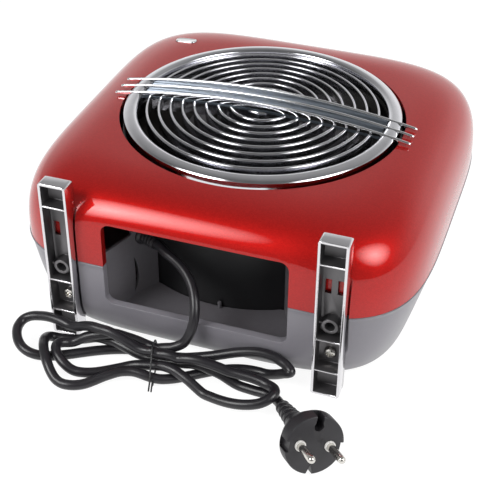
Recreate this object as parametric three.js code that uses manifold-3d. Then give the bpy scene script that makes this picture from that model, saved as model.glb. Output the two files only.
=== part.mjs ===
// A retro fan heater, shown lying on its back.
// Millimetres. The fan axis is the Z axis and the front grille faces +Z. The two feet are on the -Y side,
// the controls on the +Y side, and the floor that the back lies on is Z = 0.

import * as THREE from 'three';
import { mergeVertices } from 'three/addons/utils/BufferGeometryUtils.js';
import Module from 'manifold-3d';

const wasm = await Module();
wasm.setup();

// Fits and overruns
const seatGap = 0.3;
const overrun = 3;
const weldTolerance = 1e-4;

// Housing
const bodyHalfWidth = 137.9;
const bodyTopHalf = 133.7;
const bodyBottomHalf = 144.9;
const planCentreY = 5.3;
const planExponent = 4.7;
const planAngleShare = 0.62;
const undersideTrim = 5.2;
const undersideY = planCentreY - bodyBottomHalf + undersideTrim;
const undersideBlend = 1.6;
const partingZ = 58.5;
const faceZ = 112.3;
const frontInset = 53.9;
const frontExponent = 2.94;
const rearInset = 15.2;
const rearEdgeRadius = 6;
const undersideRearRadius = 13.7;
const undersideRearInset = 10.5;
const shellWall = 2.6;
const planSides = 46;
const frontRings = 6;
const frontInnerRings = 2;

// Front grille: its hole is as wide as the face allows
const grilleTopMargin = 41;
const grilleBottomMargin = 41.6;
const grilleSideMargin = 39.9;
const grilleHoleRadius = Math.min(
  planCentreY + bodyTopHalf - grilleTopMargin,
  bodyBottomHalf - planCentreY - grilleBottomMargin,
  bodyHalfWidth - grilleSideMargin,
);
const ringClearance = 3;
const ringRadius = grilleHoleRadius - ringClearance;
const ringBand = 9.3;
const ringInnerRadius = ringRadius - ringBand;
const ringEdgeZ = 114.4;
const ringCrest = 2.4;
const ringSkirtWall = 2;
const ringSkirtDepth = 10.6;
const finCount = 8;
const firstFinRadius = 22.4;
const outerFinClearance = 6.46;
const finPitch = (ringInnerRadius - firstFinRadius - outerFinClearance) / (finCount - 1);
const finTopWidth = 1.9;
const finFootWidth = 1.3;
const finDepth = 12;
const finRimZ = 116;
const finDomeRise = 3.1;
const bullseyeRadius = 13.6;
const bullseyeRingRadius = 6;
const bullseyeRingWidth = 1.8;
const bullseyeRingRise = 1;
const bullseyeThickness = 3;
const ribWidth = 2;
const ribDepth = 9;

// Bars across the grille
const barOverhang = 10.5;
const barHalfLength = ringRadius + barOverhang;
const barPitch = 10.2;
const barWidth = 2;
const barTipZ = 114.4;
const barArch = 10.4;
const barTipHeight = 1.8;
const barMiddleHeight = 5;
const barSteps = 10;
const webHalfWidth = 11.6;
const webThickness = 1.4;
const webEndClearance = 1.1;
const webHalfLength = ringInnerRadius - webEndClearance;

// Feet
const footStandoff = 6.7;
const soleY = undersideY - footStandoff;
const footSpacing = 179.2;
const footWidth = 18.6;
const footLength = 117.8;
const footHeight = 12;
const footWall = 1.9;
const footWebWall = 2;
const footSideGap = 0.8;
const footPocketWall = 2.4;
const footRibWall = 1.6;
const footRibZs = [101, 44.5, 20];
const footSlotWidth = 4;
const footSlotOffset = 4;
const footSlotLowZ = 74;
const footSlotHighZ = 84.5;
const footBossZ = 54;
const footBossRadius = 6.3;
const footBossBore = 3.7;
const footBossHeight = 7;
const footTipChamfer = 2.2;

// Screws
const screwHeadRadius = 4;
const screwHeadHeight = 2.2;
const screwShankRadius = 1.7;
const screwHoleGap = 0.35;
const footScrewZ = 28.5;
const footScrewLength = 10;
const footScrewBossRadius = 4.6;
const crossSlotWidth = 1;
const crossSlotLength = 4.6;
const crossSlotDepth = 1.2;

// Cord compartment in the underside
const bayHalfWidth = 61.7;
const bayLowZ = 29.4;
const bayHighZ = 91.1;
const bayCornerRadius = 6;
const bayRimDepth = 5.2;
const bayRimWall = 2.2;
const bayFloorZ = 15.5;
const bayWall = 2;
const bayWallTopZ = 65;
const bayMouthX = 62.6;
const bayFoldX = 54.9;
const bayFoldDepth = 30.2;
const bayInnerX = 45.6;
const bayDuctLap = 9.8;
const baySlotWidth = 4.2;
const baySlotTopZ = 47;
const bayPinRadius = 1.3;
const bayPinHeight = 5;
const bayPinX = 3.8;
const ductGap = 0.4;

// Air duct
const ductClearance = 2;
const ductRadius = grilleHoleRadius - ductClearance;
const ductWall = 1.8;
const ductFlangeWidth = 5;
const ductFlangeThickness = 2;
const ductSides = 32;

// Rear intake
const intakeInset = 22;
const intakeRadius = ductRadius - intakeInset;
const intakeFlange = 5;
const intakeFlangeThickness = 1.8;
const intakeSlotHeight = 4.2;
const intakeSlotPitch = 11.2;
const intakeRimWidth = 6;
const intakeRibWidth = 5;

// Motor and fan
const bracketZ = 14;
const bracketThickness = 3;
const bracketArmWidth = 11;
const bracketHubRadius = 33;
const bracketWindowRadius = 17;
const bracketArmCount = 3;
const bracketFootHeight = 14;
const bracketFootThickness = 2.4;
const motorWidth = 50;
const motorStack = 18;
const motorCorner = 5;
const motorBore = 14.3;
const rotorRadius = 14;
const rotorShaftRadius = 2.4;
const bearingGap = 0.06;
const bearingBridgeWidth = 15;
const bearingBridgeThickness = 2.6;
const bearingRadius = 5;
const bearingLength = 5;
const bearingStandoff = 7;
const coilWidth = 30;
const coilDepth = 12;
const coilLength = 20;
const fanTipClearance = 14;
const fanRadius = ductRadius - fanTipClearance;
const fanHubRadius = 17;
const fanHubHeight = 16;
const fanBladeCount = 6;
const fanBladeWall = 1.8;
const fanBladeWidth = 34;
const fanBladePitch = 16.3;
const fanHubGap = 4;
const fanBladeRoot = 2;
const fanBladeCamber = 2.2;

// Heating element
const heaterFrameThickness = 4;
const heaterFrameZ = 84;
const heaterEndBand = 38;
const heaterSideBand = 44;
const heaterWindowHalfX = ductRadius - heaterEndBand;
const heaterWindowHalfY = ductRadius - heaterSideBand;
const heaterFrameCorner = 6;
const elementDepth = 9;
const elementRows = 4;
const elementBarHeight = 7;
const elementFinPitch = 16;
const elementFinGap = 5.6;
const cutoutRadius = 8;
const cutoutHeight = 7;
const cutoutInset = 22;
const cutoutX = ductRadius - cutoutInset;

// Controls on the upper side
const knobHeight = 12.5;
const knobZ = 31;
const knobSpacing = 66;
const knobRadius = 15;
const knobSkirtRadius = 16;
const knobSkirtHeight = 3;
const knobStep = 1;
const knobEdge = 1.4;
const knobGripCount = 6;
const knobGripDepth = 0.8;
const knobPointerWidth = 1.8;
const knobPointerDepth = 0.7;
const panelHalfWidth = 58;
const panelHalfHeight = 17;
const panelCorner = 8;
const panelThickness = 2.4;
const panelDrop = 10.9;
const panelY = planCentreY + bodyTopHalf - panelDrop;
const panelFlange = 3;
const panelRimWall = 2.4;
const panelLedge = 2;
const knobPanelGap = 0.5;
const knobTopY = panelY + knobPanelGap + knobHeight;
const controlShaftRadius = 3;
const controlShaftGap = 0.3;
const shaftFlatShare = 0.5;
const thermostatSize = 26;
const thermostatDepth = 14;
const switchSize = 24;
const switchDepth = 20;
const controlCorner = 2;
const lensRadius = 4;
const lensRise = 1.6;
const lensStem = 9;

// Shell screws
const shellScrewSideInset = 33.9;
const shellScrewTopInset = 43;
const shellScrewBottomInset = 34.4;
const shellScrewX = bodyHalfWidth - shellScrewSideInset;
const shellScrewTopY = planCentreY + bodyTopHalf - shellScrewTopInset;
const shellScrewBottomY = undersideY + shellScrewBottomInset;
const shellPostRadius = 5.2;
const shellScrewHeadZ = 12;
const shellScrewLength = 26;
const shellPostTopZ = 58;

// Badge plate, left bare
const badgeSideInset = 47.9;
const badgeTopInset = 53.6;
const badgeX = badgeSideInset - bodyHalfWidth;
const badgeY = planCentreY + bodyTopHalf - badgeTopInset;
const badgeLength = 16;
const badgeWidth = 7;
const badgeThickness = 1.6;
const badgeProud = 0.8;
const badgeSlope = 2;

// Cord
const cordRadius = 3.25;
const cordFloorGap = 0.1;
const leadSides = 8;
const hankSides = 6;
const leadStepShare = 4.2;
const hankStepShare = 3.7;
const tieRadius = 0.55;
const tieFade = 34;
const tieTail = 6;
const tieTwist = 0.9;
const tieOffset = 4.3;
const tieLeanShare = -0.28;
const tieGap = 0.48;
const tieArcSteps = 3;
// Places of the cord and plug: X, Y from the underside, Z
const waistPlace = [-24, undersideY - 21.6];
const hankPitch = 7.7;
const humpReach = 22;
const settlePasses = 8;
const lobeSteps = 40;
const strandShares = [1, -0.5, 0, 1.5, -1.5, 0.5];
const lobeReaches = [53.4, 78.2, 90.8, 81.7, 64.6];
const lobePinchShares = [-0.12, -0.12, -0.02, -0.12, -0.12];
// Each lobe's Y is a short sine series: two uneven waves and two even ones
const lobeWaves = [
  [-2.55, -8.96, 4.78, 2.29],
  [-0.71, -4.87, -6.91, 0.2],
  [5.1, -13.01, 9.61, 3.42],
  [-0.74, 18.34, -1.03, -5.13],
  [14.28, -17.6, -6.07, -6.99],
];
// Heights that a stiff lobe keeps above the floor: first half, end, second half, and the lean of one on edge
const lobeRises = [
  [7, 3, 0, 0],
  [0, 8, 8.5, 0],
  [13, 8, 0, 0],
  [0, 0, 0, 6.8],
  [0, 0, 0, 0],
];
const leanEvenShare = 1.18;
// A strand lies over those of a lower rank
const lobeRankShares = [[5, 3], [2.5, 6], [6, 0], [1.2, 1], [3.2, 4]];
const runRankShares = [4, -1];
const runDropX = 24;
const runSteps = 26;
const runPoints = [[2, -17.8, 3.4], [23.9, -18, 3.4], [36.4, -19.2, 3.4], [48, -20.4, 3.4], [57.5, -21.6, 3.6]];
const hankStartPlace = [-14, -13.7, 15.6];
const hankStartShares = [-6.2, -0.8, -1.5];
const leadPoints = [
  [-28.5, 25.6, 59.8],
  [-20, 21.4, 58.2],
  [-11.5, 15.8, 55.4],
  [-4.8, 9.4, 51],
  [-0.4, 2.6, 45.4],
  [1.6, -3, 38.4],
  [1.2, -6.4, 31.2],
  [-0.6, -8.9, 25],
  [-3.6, -11, 20],
];
const bushShoulderRadius = 6.4;
const bushNeckRadius = 4.6;
const bushEndRadius = 3.9;
const bushShoulderThickness = 1.6;
const bushOutsideLength = 14;
const bushInsideLength = 9;
const bushAlongPanel = 9;
const bushZ = 61;
const terminalWidth = 24;
const terminalDepth = 12;
const terminalHeight = 16;
const coreCount = 3;
const terminalBayGap = 13.2;
const terminalDuctGap = 15.7;

// Plug
const plugPlace = [101.2, -69.4, 20.3];
const plugAimShares = [0.614, -0.743, 0.265];
const plugRollShare = -0.094;
const plugRadius = 18.5;
const plugFaceThickness = 9;
const plugBodyLength = 30;
const plugNeckRadius = 7.2;
const plugNotchWidth = 4.6;
const plugNotchDepth = 6.5;
const plugKeyholeRadius = 3;
const plugSideNotch = 2.4;
const pinSpacing = 19;
const pinRadius = 2.4;
const pinLength = 19;
const pinCollarRadius = 3.3;
const pinCollarHeight = 1.2;
const pinCollarSink = 1;
const pinFit = 0.02;
const pinStep = 0.1;
const plugEdge = 0.6;
const reliefLength = 21.5;
const reliefStartRadius = 4.2;
const reliefRingCount = 4;
const reliefRingDepth = 0.9;

// Materials: colour, roughness and metalness
const finishes = {
  red: [0x9c1220, 0.22, 0.35],
  grey: [0x7d7a80, 0.42, 0],
  darkGrey: [0x3c3b40, 0.5, 0],
  chrome: [0xd8dadd, 0.12, 1],
  web: [0xaab4c0, 0.25, 0.9],
  black: [0x141416, 0.5, 0],
  cordBlack: [0x1b1b1e, 0.45, 0],
  steel: [0x9a9ca0, 0.35, 1],
  copper: [0xa8642c, 0.4, 1],
  mica: [0xb9a888, 0.7, 0],
  element: [0x8f9094, 0.45, 0.9],
  whitePlastic: [0xd9d7d0, 0.5, 0],
  lens: [0xc8451c, 0.2, 0],
};

const heater = new THREE.Group();

function addPart(name, geometry, finish, carrier = heater) {
  const [color, roughness, metalness] = finishes[finish];
  const material = new THREE.MeshStandardMaterial({ color, roughness, metalness });
  const mesh = new THREE.Mesh(geometry, material);
  mesh.name = name;
  carrier.add(mesh);
  return mesh;
}

// Booleans

function solid(geometry) {
  const bare = geometry.clone();
  bare.deleteAttribute('normal');
  bare.deleteAttribute('uv');
  const merged = mergeVertices(bare, weldTolerance);
  const vertProperties = Float32Array.from(merged.attributes.position.array);
  const triVerts = Uint32Array.from(merged.index.array);
  return new wasm.Manifold(new wasm.Mesh({ numProp: 3, vertProperties, triVerts }));
}

function geometryOf(manifold) {
  const mesh = manifold.getMesh();
  const geometry = new THREE.BufferGeometry();
  const positions = new Float32Array(mesh.numVert * 3);
  for (let i = 0; i < mesh.numVert; i += 1) {
    for (let k = 0; k < 3; k += 1) positions[3 * i + k] = mesh.vertProperties[mesh.numProp * i + k];
  }
  geometry.setAttribute('position', new THREE.BufferAttribute(positions, 3));
  geometry.setIndex(Array.from(mesh.triVerts));
  return geometry;
}

const cut = (base, ...tools) => tools.reduce((left, tool) => left.subtract(tool), base);
const join = (base, ...others) => others.reduce((left, other) => left.add(other), base);

// Closed shapes

function box(low, high) {
  const near = new THREE.Vector3(...low);
  const far = new THREE.Vector3(...high);
  const size = far.clone().sub(near);
  const middle = near.add(far).divideScalar(2);
  return new THREE.BoxGeometry(size.x, size.y, size.z).translate(middle.x, middle.y, middle.z);
}

function disc(radius, lowZ, highZ, sides) {
  const geometry = new THREE.CylinderGeometry(radius, radius, highZ - lowZ, sides);
  geometry.rotateX(Math.PI / 2);
  geometry.translate(0, 0, (lowZ + highZ) / 2);
  return geometry;
}

// A profile of [radius, height] points turned about Z. It closes on itself.
function turned(profile, sides) {
  const points = profile.map(([radius, height]) => new THREE.Vector2(radius, height));
  const closed = points[0].equals(points[points.length - 1]) || points[0].x === 0;
  if (!closed) points.push(points[0].clone());
  const geometry = new THREE.LatheGeometry(points, sides);
  geometry.rotateX(Math.PI / 2);
  return facingOut(geometry);
}

function facingOut(geometry) {
  const flat = geometry.toNonIndexed().attributes.position;
  let volume = 0;
  const [a, b, c] = [new THREE.Vector3(), new THREE.Vector3(), new THREE.Vector3()];
  for (let i = 0; i < flat.count; i += 3) {
    a.fromBufferAttribute(flat, i);
    b.fromBufferAttribute(flat, i + 1);
    c.fromBufferAttribute(flat, i + 2);
    volume += a.dot(b.cross(c));
  }
  if (volume < 0) {
    const index = geometry.index.array;
    for (let i = 0; i < index.length; i += 3) [index[i], index[i + 1]] = [index[i + 1], index[i]];
  }
  return geometry;
}

function extruded(shape, depth, curveSegments = 4) {
  return new THREE.ExtrudeGeometry(shape, { depth, bevelEnabled: false, curveSegments, steps: 1 });
}

function roundedRectangle(halfX, halfY, corner) {
  const shape = new THREE.Shape();
  shape.moveTo(corner - halfX, -halfY);
  shape.lineTo(halfX - corner, -halfY);
  shape.absarc(halfX - corner, corner - halfY, corner, -Math.PI / 2, 0, false);
  shape.lineTo(halfX, halfY - corner);
  shape.absarc(halfX - corner, halfY - corner, corner, 0, Math.PI / 2, false);
  shape.lineTo(corner - halfX, halfY);
  shape.absarc(corner - halfX, halfY - corner, corner, Math.PI / 2, Math.PI, false);
  shape.lineTo(-halfX, corner - halfY);
  shape.absarc(corner - halfX, corner - halfY, corner, Math.PI, 1.5 * Math.PI, false);
  return shape;
}

// A shape drawn in X and Z, extruded along Y from lowY to highY
function alongY(shape, lowY, highY, curveSegments = 4) {
  const geometry = extruded(shape, highY - lowY, curveSegments);
  geometry.rotateX(Math.PI / 2);
  geometry.translate(0, highY, 0);
  return geometry;
}

// A closed skin over rings of equal count, with flat ends
function loft(rings) {
  const count = rings[0].length;
  const positions = [];
  const index = [];
  for (const ring of rings) for (const point of ring) positions.push(point.x, point.y, point.z);
  for (let j = 0; j + 1 < rings.length; j += 1) {
    for (let i = 0; i < count; i += 1) {
      const a = j * count + i;
      const b = j * count + ((i + 1) % count);
      index.push(a, b, b + count, a, b + count, a + count);
    }
  }
  const ends = [0, rings.length - 1];
  for (const end of ends) {
    const centre = new THREE.Vector3();
    for (const point of rings[end]) centre.addScaledVector(point, 1 / count);
    positions.push(centre.x, centre.y, centre.z);
    const hub = positions.length / 3 - 1;
    for (let i = 0; i < count; i += 1) {
      const a = end * count + i;
      const b = end * count + ((i + 1) % count);
      index.push(...(end === 0 ? [hub, b, a] : [hub, a, b]));
    }
  }
  const geometry = new THREE.BufferGeometry();
  geometry.setAttribute('position', new THREE.Float32BufferAttribute(positions, 3));
  geometry.setIndex(index);
  return facingOut(geometry);
}

// Housing outline: a superellipse, flat along the underside

function planRing(inset, bottomInset, clipY, z) {
  const ring = [];
  for (let i = 0; i < planSides; i += 1) {
    const turn = (2 * Math.PI * (i + 0.5)) / planSides;
    const cosine = Math.sign(Math.cos(turn)) * Math.abs(Math.cos(turn)) ** planAngleShare;
    const sine = Math.sign(Math.sin(turn)) * Math.abs(Math.sin(turn)) ** planAngleShare;
    const halfX = bodyHalfWidth - inset;
    const halfY = sine > 0 ? bodyTopHalf - inset : bodyBottomHalf - bottomInset;
    const reach = (Math.abs(cosine / halfX) ** planExponent + Math.abs(sine / halfY) ** planExponent) **
      (-1 / planExponent);
    const x = reach * cosine;
    const y = reach * sine + planCentreY;
    const above = y - clipY;
    const blended = (above + Math.sqrt(above * above + undersideBlend * undersideBlend)) / 2;
    ring.push(new THREE.Vector3(x, sine > 0 ? y : clipY + blended, z));
  }
  return ring;
}

function frontSolid(wall) {
  const rings = [];
  const startZ = wall > 0 ? partingZ - overrun : partingZ + seatGap / 2;
  rings.push(planRing(wall, wall, undersideY + wall, startZ));
  const ringCount = wall > 0 ? frontInnerRings : frontRings;
  for (let j = 1; j <= ringCount; j += 1) {
    const turn = (j * Math.PI) / 2 / ringCount;
    const inset = frontInset * (1 - Math.cos(turn) ** (2 / frontExponent));
    const rise = (faceZ - partingZ - wall) * Math.sin(turn) ** (2 / frontExponent);
    rings.push(planRing(inset + wall, inset + wall, undersideY + wall, partingZ + rise));
  }
  return solid(loft(rings));
}

function rearSolid(wall) {
  const rings = [];
  const heights = [partingZ - seatGap / 2, 0.5 * partingZ, undersideRearRadius];
  const roundSteps = wall > 0 ? 1 : 3;
  for (let j = 1; j <= roundSteps; j += 1) {
    const turn = (j * Math.PI) / 2 / roundSteps;
    heights.push(undersideRearRadius * (1 - Math.sin(turn)));
  }
  for (const height of heights) {
    const drop = (partingZ - height) / partingZ;
    const edge = Math.max(0, rearEdgeRadius - height);
    const edgeInset = rearEdgeRadius - Math.sqrt(rearEdgeRadius ** 2 - edge ** 2);
    const low = Math.max(0, undersideRearRadius - height) / undersideRearRadius;
    const clipY = undersideY + undersideRearInset * (1 - Math.sqrt(1 - low ** 2));
    const inset = rearInset * drop + edgeInset + wall;
    const bottomInset = rearInset * drop ** 4 + edgeInset + wall;
    const z = wall > 0 ? Math.max(height, wall) : height;
    rings.push(planRing(inset, bottomInset, clipY + wall, z));
  }
  if (wall > 0) {
    const top = rings[0].map((point) => point.clone().setZ(partingZ + overrun));
    rings.unshift(top);
    while (rings[rings.length - 2][0].z === rings[rings.length - 1][0].z) rings.splice(rings.length - 2, 1);
  }
  return solid(loft(rings.reverse()));
}

const frontOuter = frontSolid(0);
const rearOuter = rearSolid(0);
let frontShell = frontOuter.subtract(frontSolid(shellWall));
let rearShell = rearOuter.subtract(rearSolid(shellWall));

// Height of the front face over a point of the plan
function faceHeight(x, y) {
  const halfY = y > planCentreY ? bodyTopHalf : bodyBottomHalf;
  let low = 0;
  let high = frontInset;
  for (let k = 0; k < 40; k += 1) {
    const inset = (low + high) / 2;
    const size = Math.abs(x / (bodyHalfWidth - inset)) ** planExponent +
      Math.abs((y - planCentreY) / (halfY - inset)) ** planExponent;
    if (size > 1) high = inset;
    else low = inset;
  }
  const inward = Math.min(1, low / frontInset);
  return partingZ + (faceZ - partingZ) * (1 - (1 - inward) ** frontExponent) ** (1 / frontExponent);
}

// Rims and pockets are added inside the shell wall, then cut

function addInside(block) {
  const inside = solid(block);
  frontShell = frontShell.add(inside.intersect(frontOuter));
  rearShell = rearShell.add(inside.intersect(rearOuter));
}

function cutBoth(tool) {
  const cutter = solid(tool);
  frontShell = frontShell.subtract(cutter);
  rearShell = rearShell.subtract(cutter);
}

const sides = [-1, 1];
const footX = footSpacing / 2;
const footInnerY = soleY + footHeight;
const footPocketY = footInnerY + seatGap;
const footPocketHalf = footWidth / 2 + footSideGap;
const bayMiddleZ = (bayLowZ + bayHighZ) / 2;
const bayHalfHeight = (bayHighZ - bayLowZ) / 2;

function bayWindow(grow, lowY, highY) {
  const shape = roundedRectangle(bayHalfWidth + grow, bayHalfHeight + grow, bayCornerRadius + grow);
  const geometry = alongY(shape, lowY, highY);
  geometry.translate(0, 0, bayMiddleZ);
  return geometry;
}

for (const side of sides) {
  const middle = side * footX;
  const reach = footPocketHalf + footPocketWall;
  addInside(box([middle - reach, soleY, 0], [middle + reach, footPocketY + footPocketWall, faceZ]));
}
addInside(bayWindow(bayRimWall, undersideY - overrun, undersideY + bayRimDepth));
for (const side of sides) {
  const boss = new THREE.CylinderGeometry(footScrewBossRadius, footScrewBossRadius, footScrewLength, 10);
  boss.translate(side * footX, footPocketY + footScrewLength / 2, footScrewZ);
  rearShell = rearShell.add(solid(boss));
}
for (const side of sides) {
  const middle = side * footX;
  const low = [middle - footPocketHalf, soleY - overrun, -overrun];
  cutBoth(box(low, [middle + footPocketHalf, footPocketY, faceZ + overrun]));
  const hole = new THREE.CylinderGeometry(screwShankRadius + screwHoleGap, screwShankRadius + screwHoleGap,
    footScrewLength + overrun, 8);
  hole.translate(middle, footPocketY - overrun + (footScrewLength + overrun) / 2, footScrewZ);
  rearShell = rearShell.subtract(solid(hole));
}
cutBoth(bayWindow(0, undersideY - overrun, undersideY + bayRimDepth + overrun));

// Screw posts run from the back wall to the front shell's own posts
const screwPlaces = [];
for (const side of sides) {
  screwPlaces.push([side * shellScrewX, shellScrewTopY], [side * shellScrewX, shellScrewBottomY]);
}
const rearPosts = [];
const rearBores = [];
const frontPosts = [];
const frontBores = [];
for (const [x, y] of screwPlaces) {
  const place = (geometry) => solid(geometry.translate(x, y, 0));
  rearPosts.push(place(disc(shellPostRadius, shellWall / 2, shellPostTopZ - seatGap, 10)));
  rearBores.push(place(disc(screwHeadRadius + screwHoleGap, -overrun, shellScrewHeadZ, 10)));
  rearBores.push(place(disc(screwShankRadius + screwHoleGap, 0, partingZ + overrun, 8)));
  frontPosts.push(place(disc(shellPostRadius, shellPostTopZ + seatGap, faceZ, 10)).intersect(frontOuter));
}
for (const [x, y] of screwPlaces) {
  const bore = disc(screwShankRadius + screwHoleGap, shellPostTopZ, shellPostTopZ + shellScrewLength, 8);
  frontBores.push(solid(bore.translate(x, y, 0)));
}
rearShell = cut(join(rearShell, ...rearPosts), ...rearBores);
frontShell = cut(join(frontShell, ...frontPosts), ...frontBores);

// Openings for the grille, the intake and the control panel
frontShell = frontShell.subtract(solid(disc(grilleHoleRadius, partingZ + overrun, faceZ + overrun, 44)));
rearShell = rearShell.subtract(solid(disc(intakeRadius + seatGap, -overrun, shellWall + overrun, 36)));
const panelShape = roundedRectangle(panelHalfWidth, panelHalfHeight, panelCorner);
const panelHoleShape = roundedRectangle(panelHalfWidth + seatGap, panelHalfHeight + seatGap, panelCorner);
const panelLedgeY = panelY - panelThickness - seatGap;
const panelWellShape = roundedRectangle(panelHalfWidth + panelRimWall, panelHalfHeight + panelRimWall,
  panelCorner + panelRimWall);
const panelBackShape = roundedRectangle(panelHalfWidth - panelFlange, panelHalfHeight - panelFlange,
  panelCorner - panelFlange);
const panelBackHole = roundedRectangle(panelHalfWidth - panelFlange + seatGap,
  panelHalfHeight - panelFlange + seatGap, panelCorner - panelFlange);
const onPanel = (shape, lowY, highY) => solid(alongY(shape, lowY, highY, 3).translate(0, 0, knobZ));
const panelWell = onPanel(panelWellShape, panelLedgeY - panelLedge, knobTopY).intersect(rearOuter);
rearShell = rearShell.add(panelWell);
rearShell = rearShell.subtract(onPanel(panelHoleShape, panelLedgeY, knobTopY));
rearShell = rearShell.subtract(onPanel(panelBackHole, panelLedgeY - panelLedge - overrun, knobTopY));

// Bare badge plate, let into the face
const badgeRise = faceHeight(badgeX, badgeY);
const badgeNormal = new THREE.Vector3(
  faceHeight(badgeX - badgeSlope, badgeY) - faceHeight(badgeX + badgeSlope, badgeY),
  faceHeight(badgeX, badgeY - badgeSlope) - faceHeight(badgeX, badgeY + badgeSlope),
  2 * badgeSlope,
).normalize();
const badgeFrame = new THREE.Group();
badgeFrame.position.set(badgeX, badgeY, badgeRise);
badgeFrame.quaternion.setFromUnitVectors(new THREE.Vector3(0, 0, 1), badgeNormal);
badgeFrame.updateMatrix();
const badgePlate = extruded(roundedRectangle(badgeLength / 2, badgeWidth / 2, badgeWidth / 2.2), badgeThickness);
badgePlate.translate(0, 0, badgeProud - badgeThickness);
const badgeSeat = extruded(
  roundedRectangle(badgeLength / 2 + seatGap, badgeWidth / 2 + seatGap, badgeWidth / 2.2),
  badgeThickness + overrun,
);
badgeSeat.translate(0, 0, badgeProud - badgeThickness - seatGap);
badgeSeat.applyMatrix4(badgeFrame.matrix);
frontShell = frontShell.subtract(solid(badgeSeat));
addPart('badge_plate', badgePlate, 'chrome', badgeFrame);
heater.add(badgeFrame);

addPart('front_shell', geometryOf(frontShell), 'red');
addPart('rear_shell', geometryOf(rearShell), 'grey');

// Grille: crested ring with its skirt, concentric fins, bullseye and the ribs under the bars

const finTop = (radius) => finRimZ + finDomeRise * (1 - (radius / ringInnerRadius) ** 2);

function ringProfile() {
  const crestRadius = ringInnerRadius + 0.35 * (ringRadius - ringInnerRadius);
  return [
    [ringRadius, ringEdgeZ],
    [ringRadius - 0.25 * (ringRadius - crestRadius), ringEdgeZ + 0.55 * ringCrest],
    [crestRadius + 0.35 * (ringRadius - crestRadius), ringEdgeZ + 0.95 * ringCrest],
    [crestRadius, ringEdgeZ + ringCrest],
    [ringInnerRadius + 0.3 * (crestRadius - ringInnerRadius), ringEdgeZ + 0.8 * ringCrest],
    [ringInnerRadius, ringEdgeZ + 0.2 * ringCrest],
    [ringInnerRadius, ringEdgeZ - finDepth / 2],
    [ringInnerRadius + ringSkirtWall, ringEdgeZ - finDepth / 2],
    [ringInnerRadius + ringSkirtWall, ringEdgeZ - ringCrest],
    [ringRadius - ringSkirtWall, ringEdgeZ - ringCrest],
    [ringRadius - ringSkirtWall, ringEdgeZ - ringSkirtDepth],
    [ringRadius, ringEdgeZ - ringSkirtDepth],
  ];
}

let grille = solid(turned(ringProfile(), 36));
for (let k = 0; k < finCount; k += 1) {
  const radius = firstFinRadius + k * finPitch;
  const top = finTop(radius);
  const profile = [
    [radius + finTopWidth / 2, top - finTopWidth / 4],
    [radius - finTopWidth / 2, top],
    [radius - finFootWidth / 2, top - finDepth],
    [radius + finFootWidth / 2, top - finDepth],
  ];
  grille = grille.add(solid(turned(profile, 15 + 2 * k)));
}
const eyeTop = finTop(0);
const eyeProfile = [
  [0, eyeTop - bullseyeThickness],
  [bullseyeRadius, eyeTop - bullseyeThickness],
  [bullseyeRadius, eyeTop - finTopWidth / 2],
  [bullseyeRadius - finTopWidth / 2, eyeTop],
  [bullseyeRadius - finTopWidth, eyeTop - finTopWidth / 2],
  [bullseyeRingRadius + bullseyeRingWidth, eyeTop - finTopWidth / 2],
  [bullseyeRingRadius + bullseyeRingWidth / 2, eyeTop - finTopWidth / 2 + bullseyeRingRise],
  [bullseyeRingRadius, eyeTop - finTopWidth / 2],
  [0, eyeTop - finTopWidth / 4],
];
grille = grille.add(solid(turned(eyeProfile, 16)));

const archAt = (x) => 1 - (x / barHalfLength) ** 2;
const barTopZ = (x) => barTipZ + barArch * archAt(x);
const barFootZ = (x) => barTopZ(x) - barTipHeight - (barMiddleHeight - barTipHeight) * archAt(x);
const webTopZ = (x) => barFootZ(x) - seatGap;

// A strip along X between two arched lines, from one Y to another
function archedStrip(halfLength, lower, upper, lowY, highY) {
  const shape = new THREE.Shape();
  for (let i = 0; i <= barSteps; i += 1) {
    const x = -halfLength + (2 * halfLength * i) / barSteps;
    if (i === 0) shape.moveTo(x, lower(x));
    else shape.lineTo(x, lower(x));
  }
  for (let i = barSteps; i >= 0; i -= 1) {
    const x = -halfLength + (2 * halfLength * i) / barSteps;
    shape.lineTo(x, upper(x));
  }
  return alongY(shape, lowY, highY);
}

for (const side of sides) {
  const middle = side * barPitch;
  const lower = (x) => webTopZ(x) - webThickness - ribDepth;
  const upper = (x) => webTopZ(x) - webThickness - seatGap;
  const rib = archedStrip(ringInnerRadius + ringSkirtWall / 2, lower, upper,
    middle - ribWidth / 2, middle + ribWidth / 2);
  grille = grille.add(solid(rib));
}
const aboveBars = (x) => barTopZ(x) + overrun;
const webSeat = archedStrip(webHalfLength + seatGap, (x) => webTopZ(x) - webThickness - seatGap, aboveBars,
  -webHalfWidth - seatGap, webHalfWidth + seatGap);
grille = grille.subtract(solid(webSeat));
const barPlaces = [['bar_upper', barPitch], ['bar_middle', 0], ['bar_lower', -barPitch]];
for (const [, y] of barPlaces) {
  const half = barWidth / 2 + seatGap;
  const slot = archedStrip(barHalfLength + seatGap, (x) => barFootZ(x) - seatGap, aboveBars, y - half, y + half);
  grille = grille.subtract(solid(slot));
}
addPart('grille', geometryOf(grille), 'chrome');
for (const [name, y] of barPlaces) {
  addPart(name, archedStrip(barHalfLength, barFootZ, barTopZ, y - barWidth / 2, y + barWidth / 2), 'chrome');
}
addPart('bar_web', archedStrip(webHalfLength, (x) => webTopZ(x) - webThickness, webTopZ,
  -webHalfWidth, webHalfWidth), 'web');

// Feet: channels open to the sole, with end walls, cross ribs, slots and a hollow boss

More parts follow.
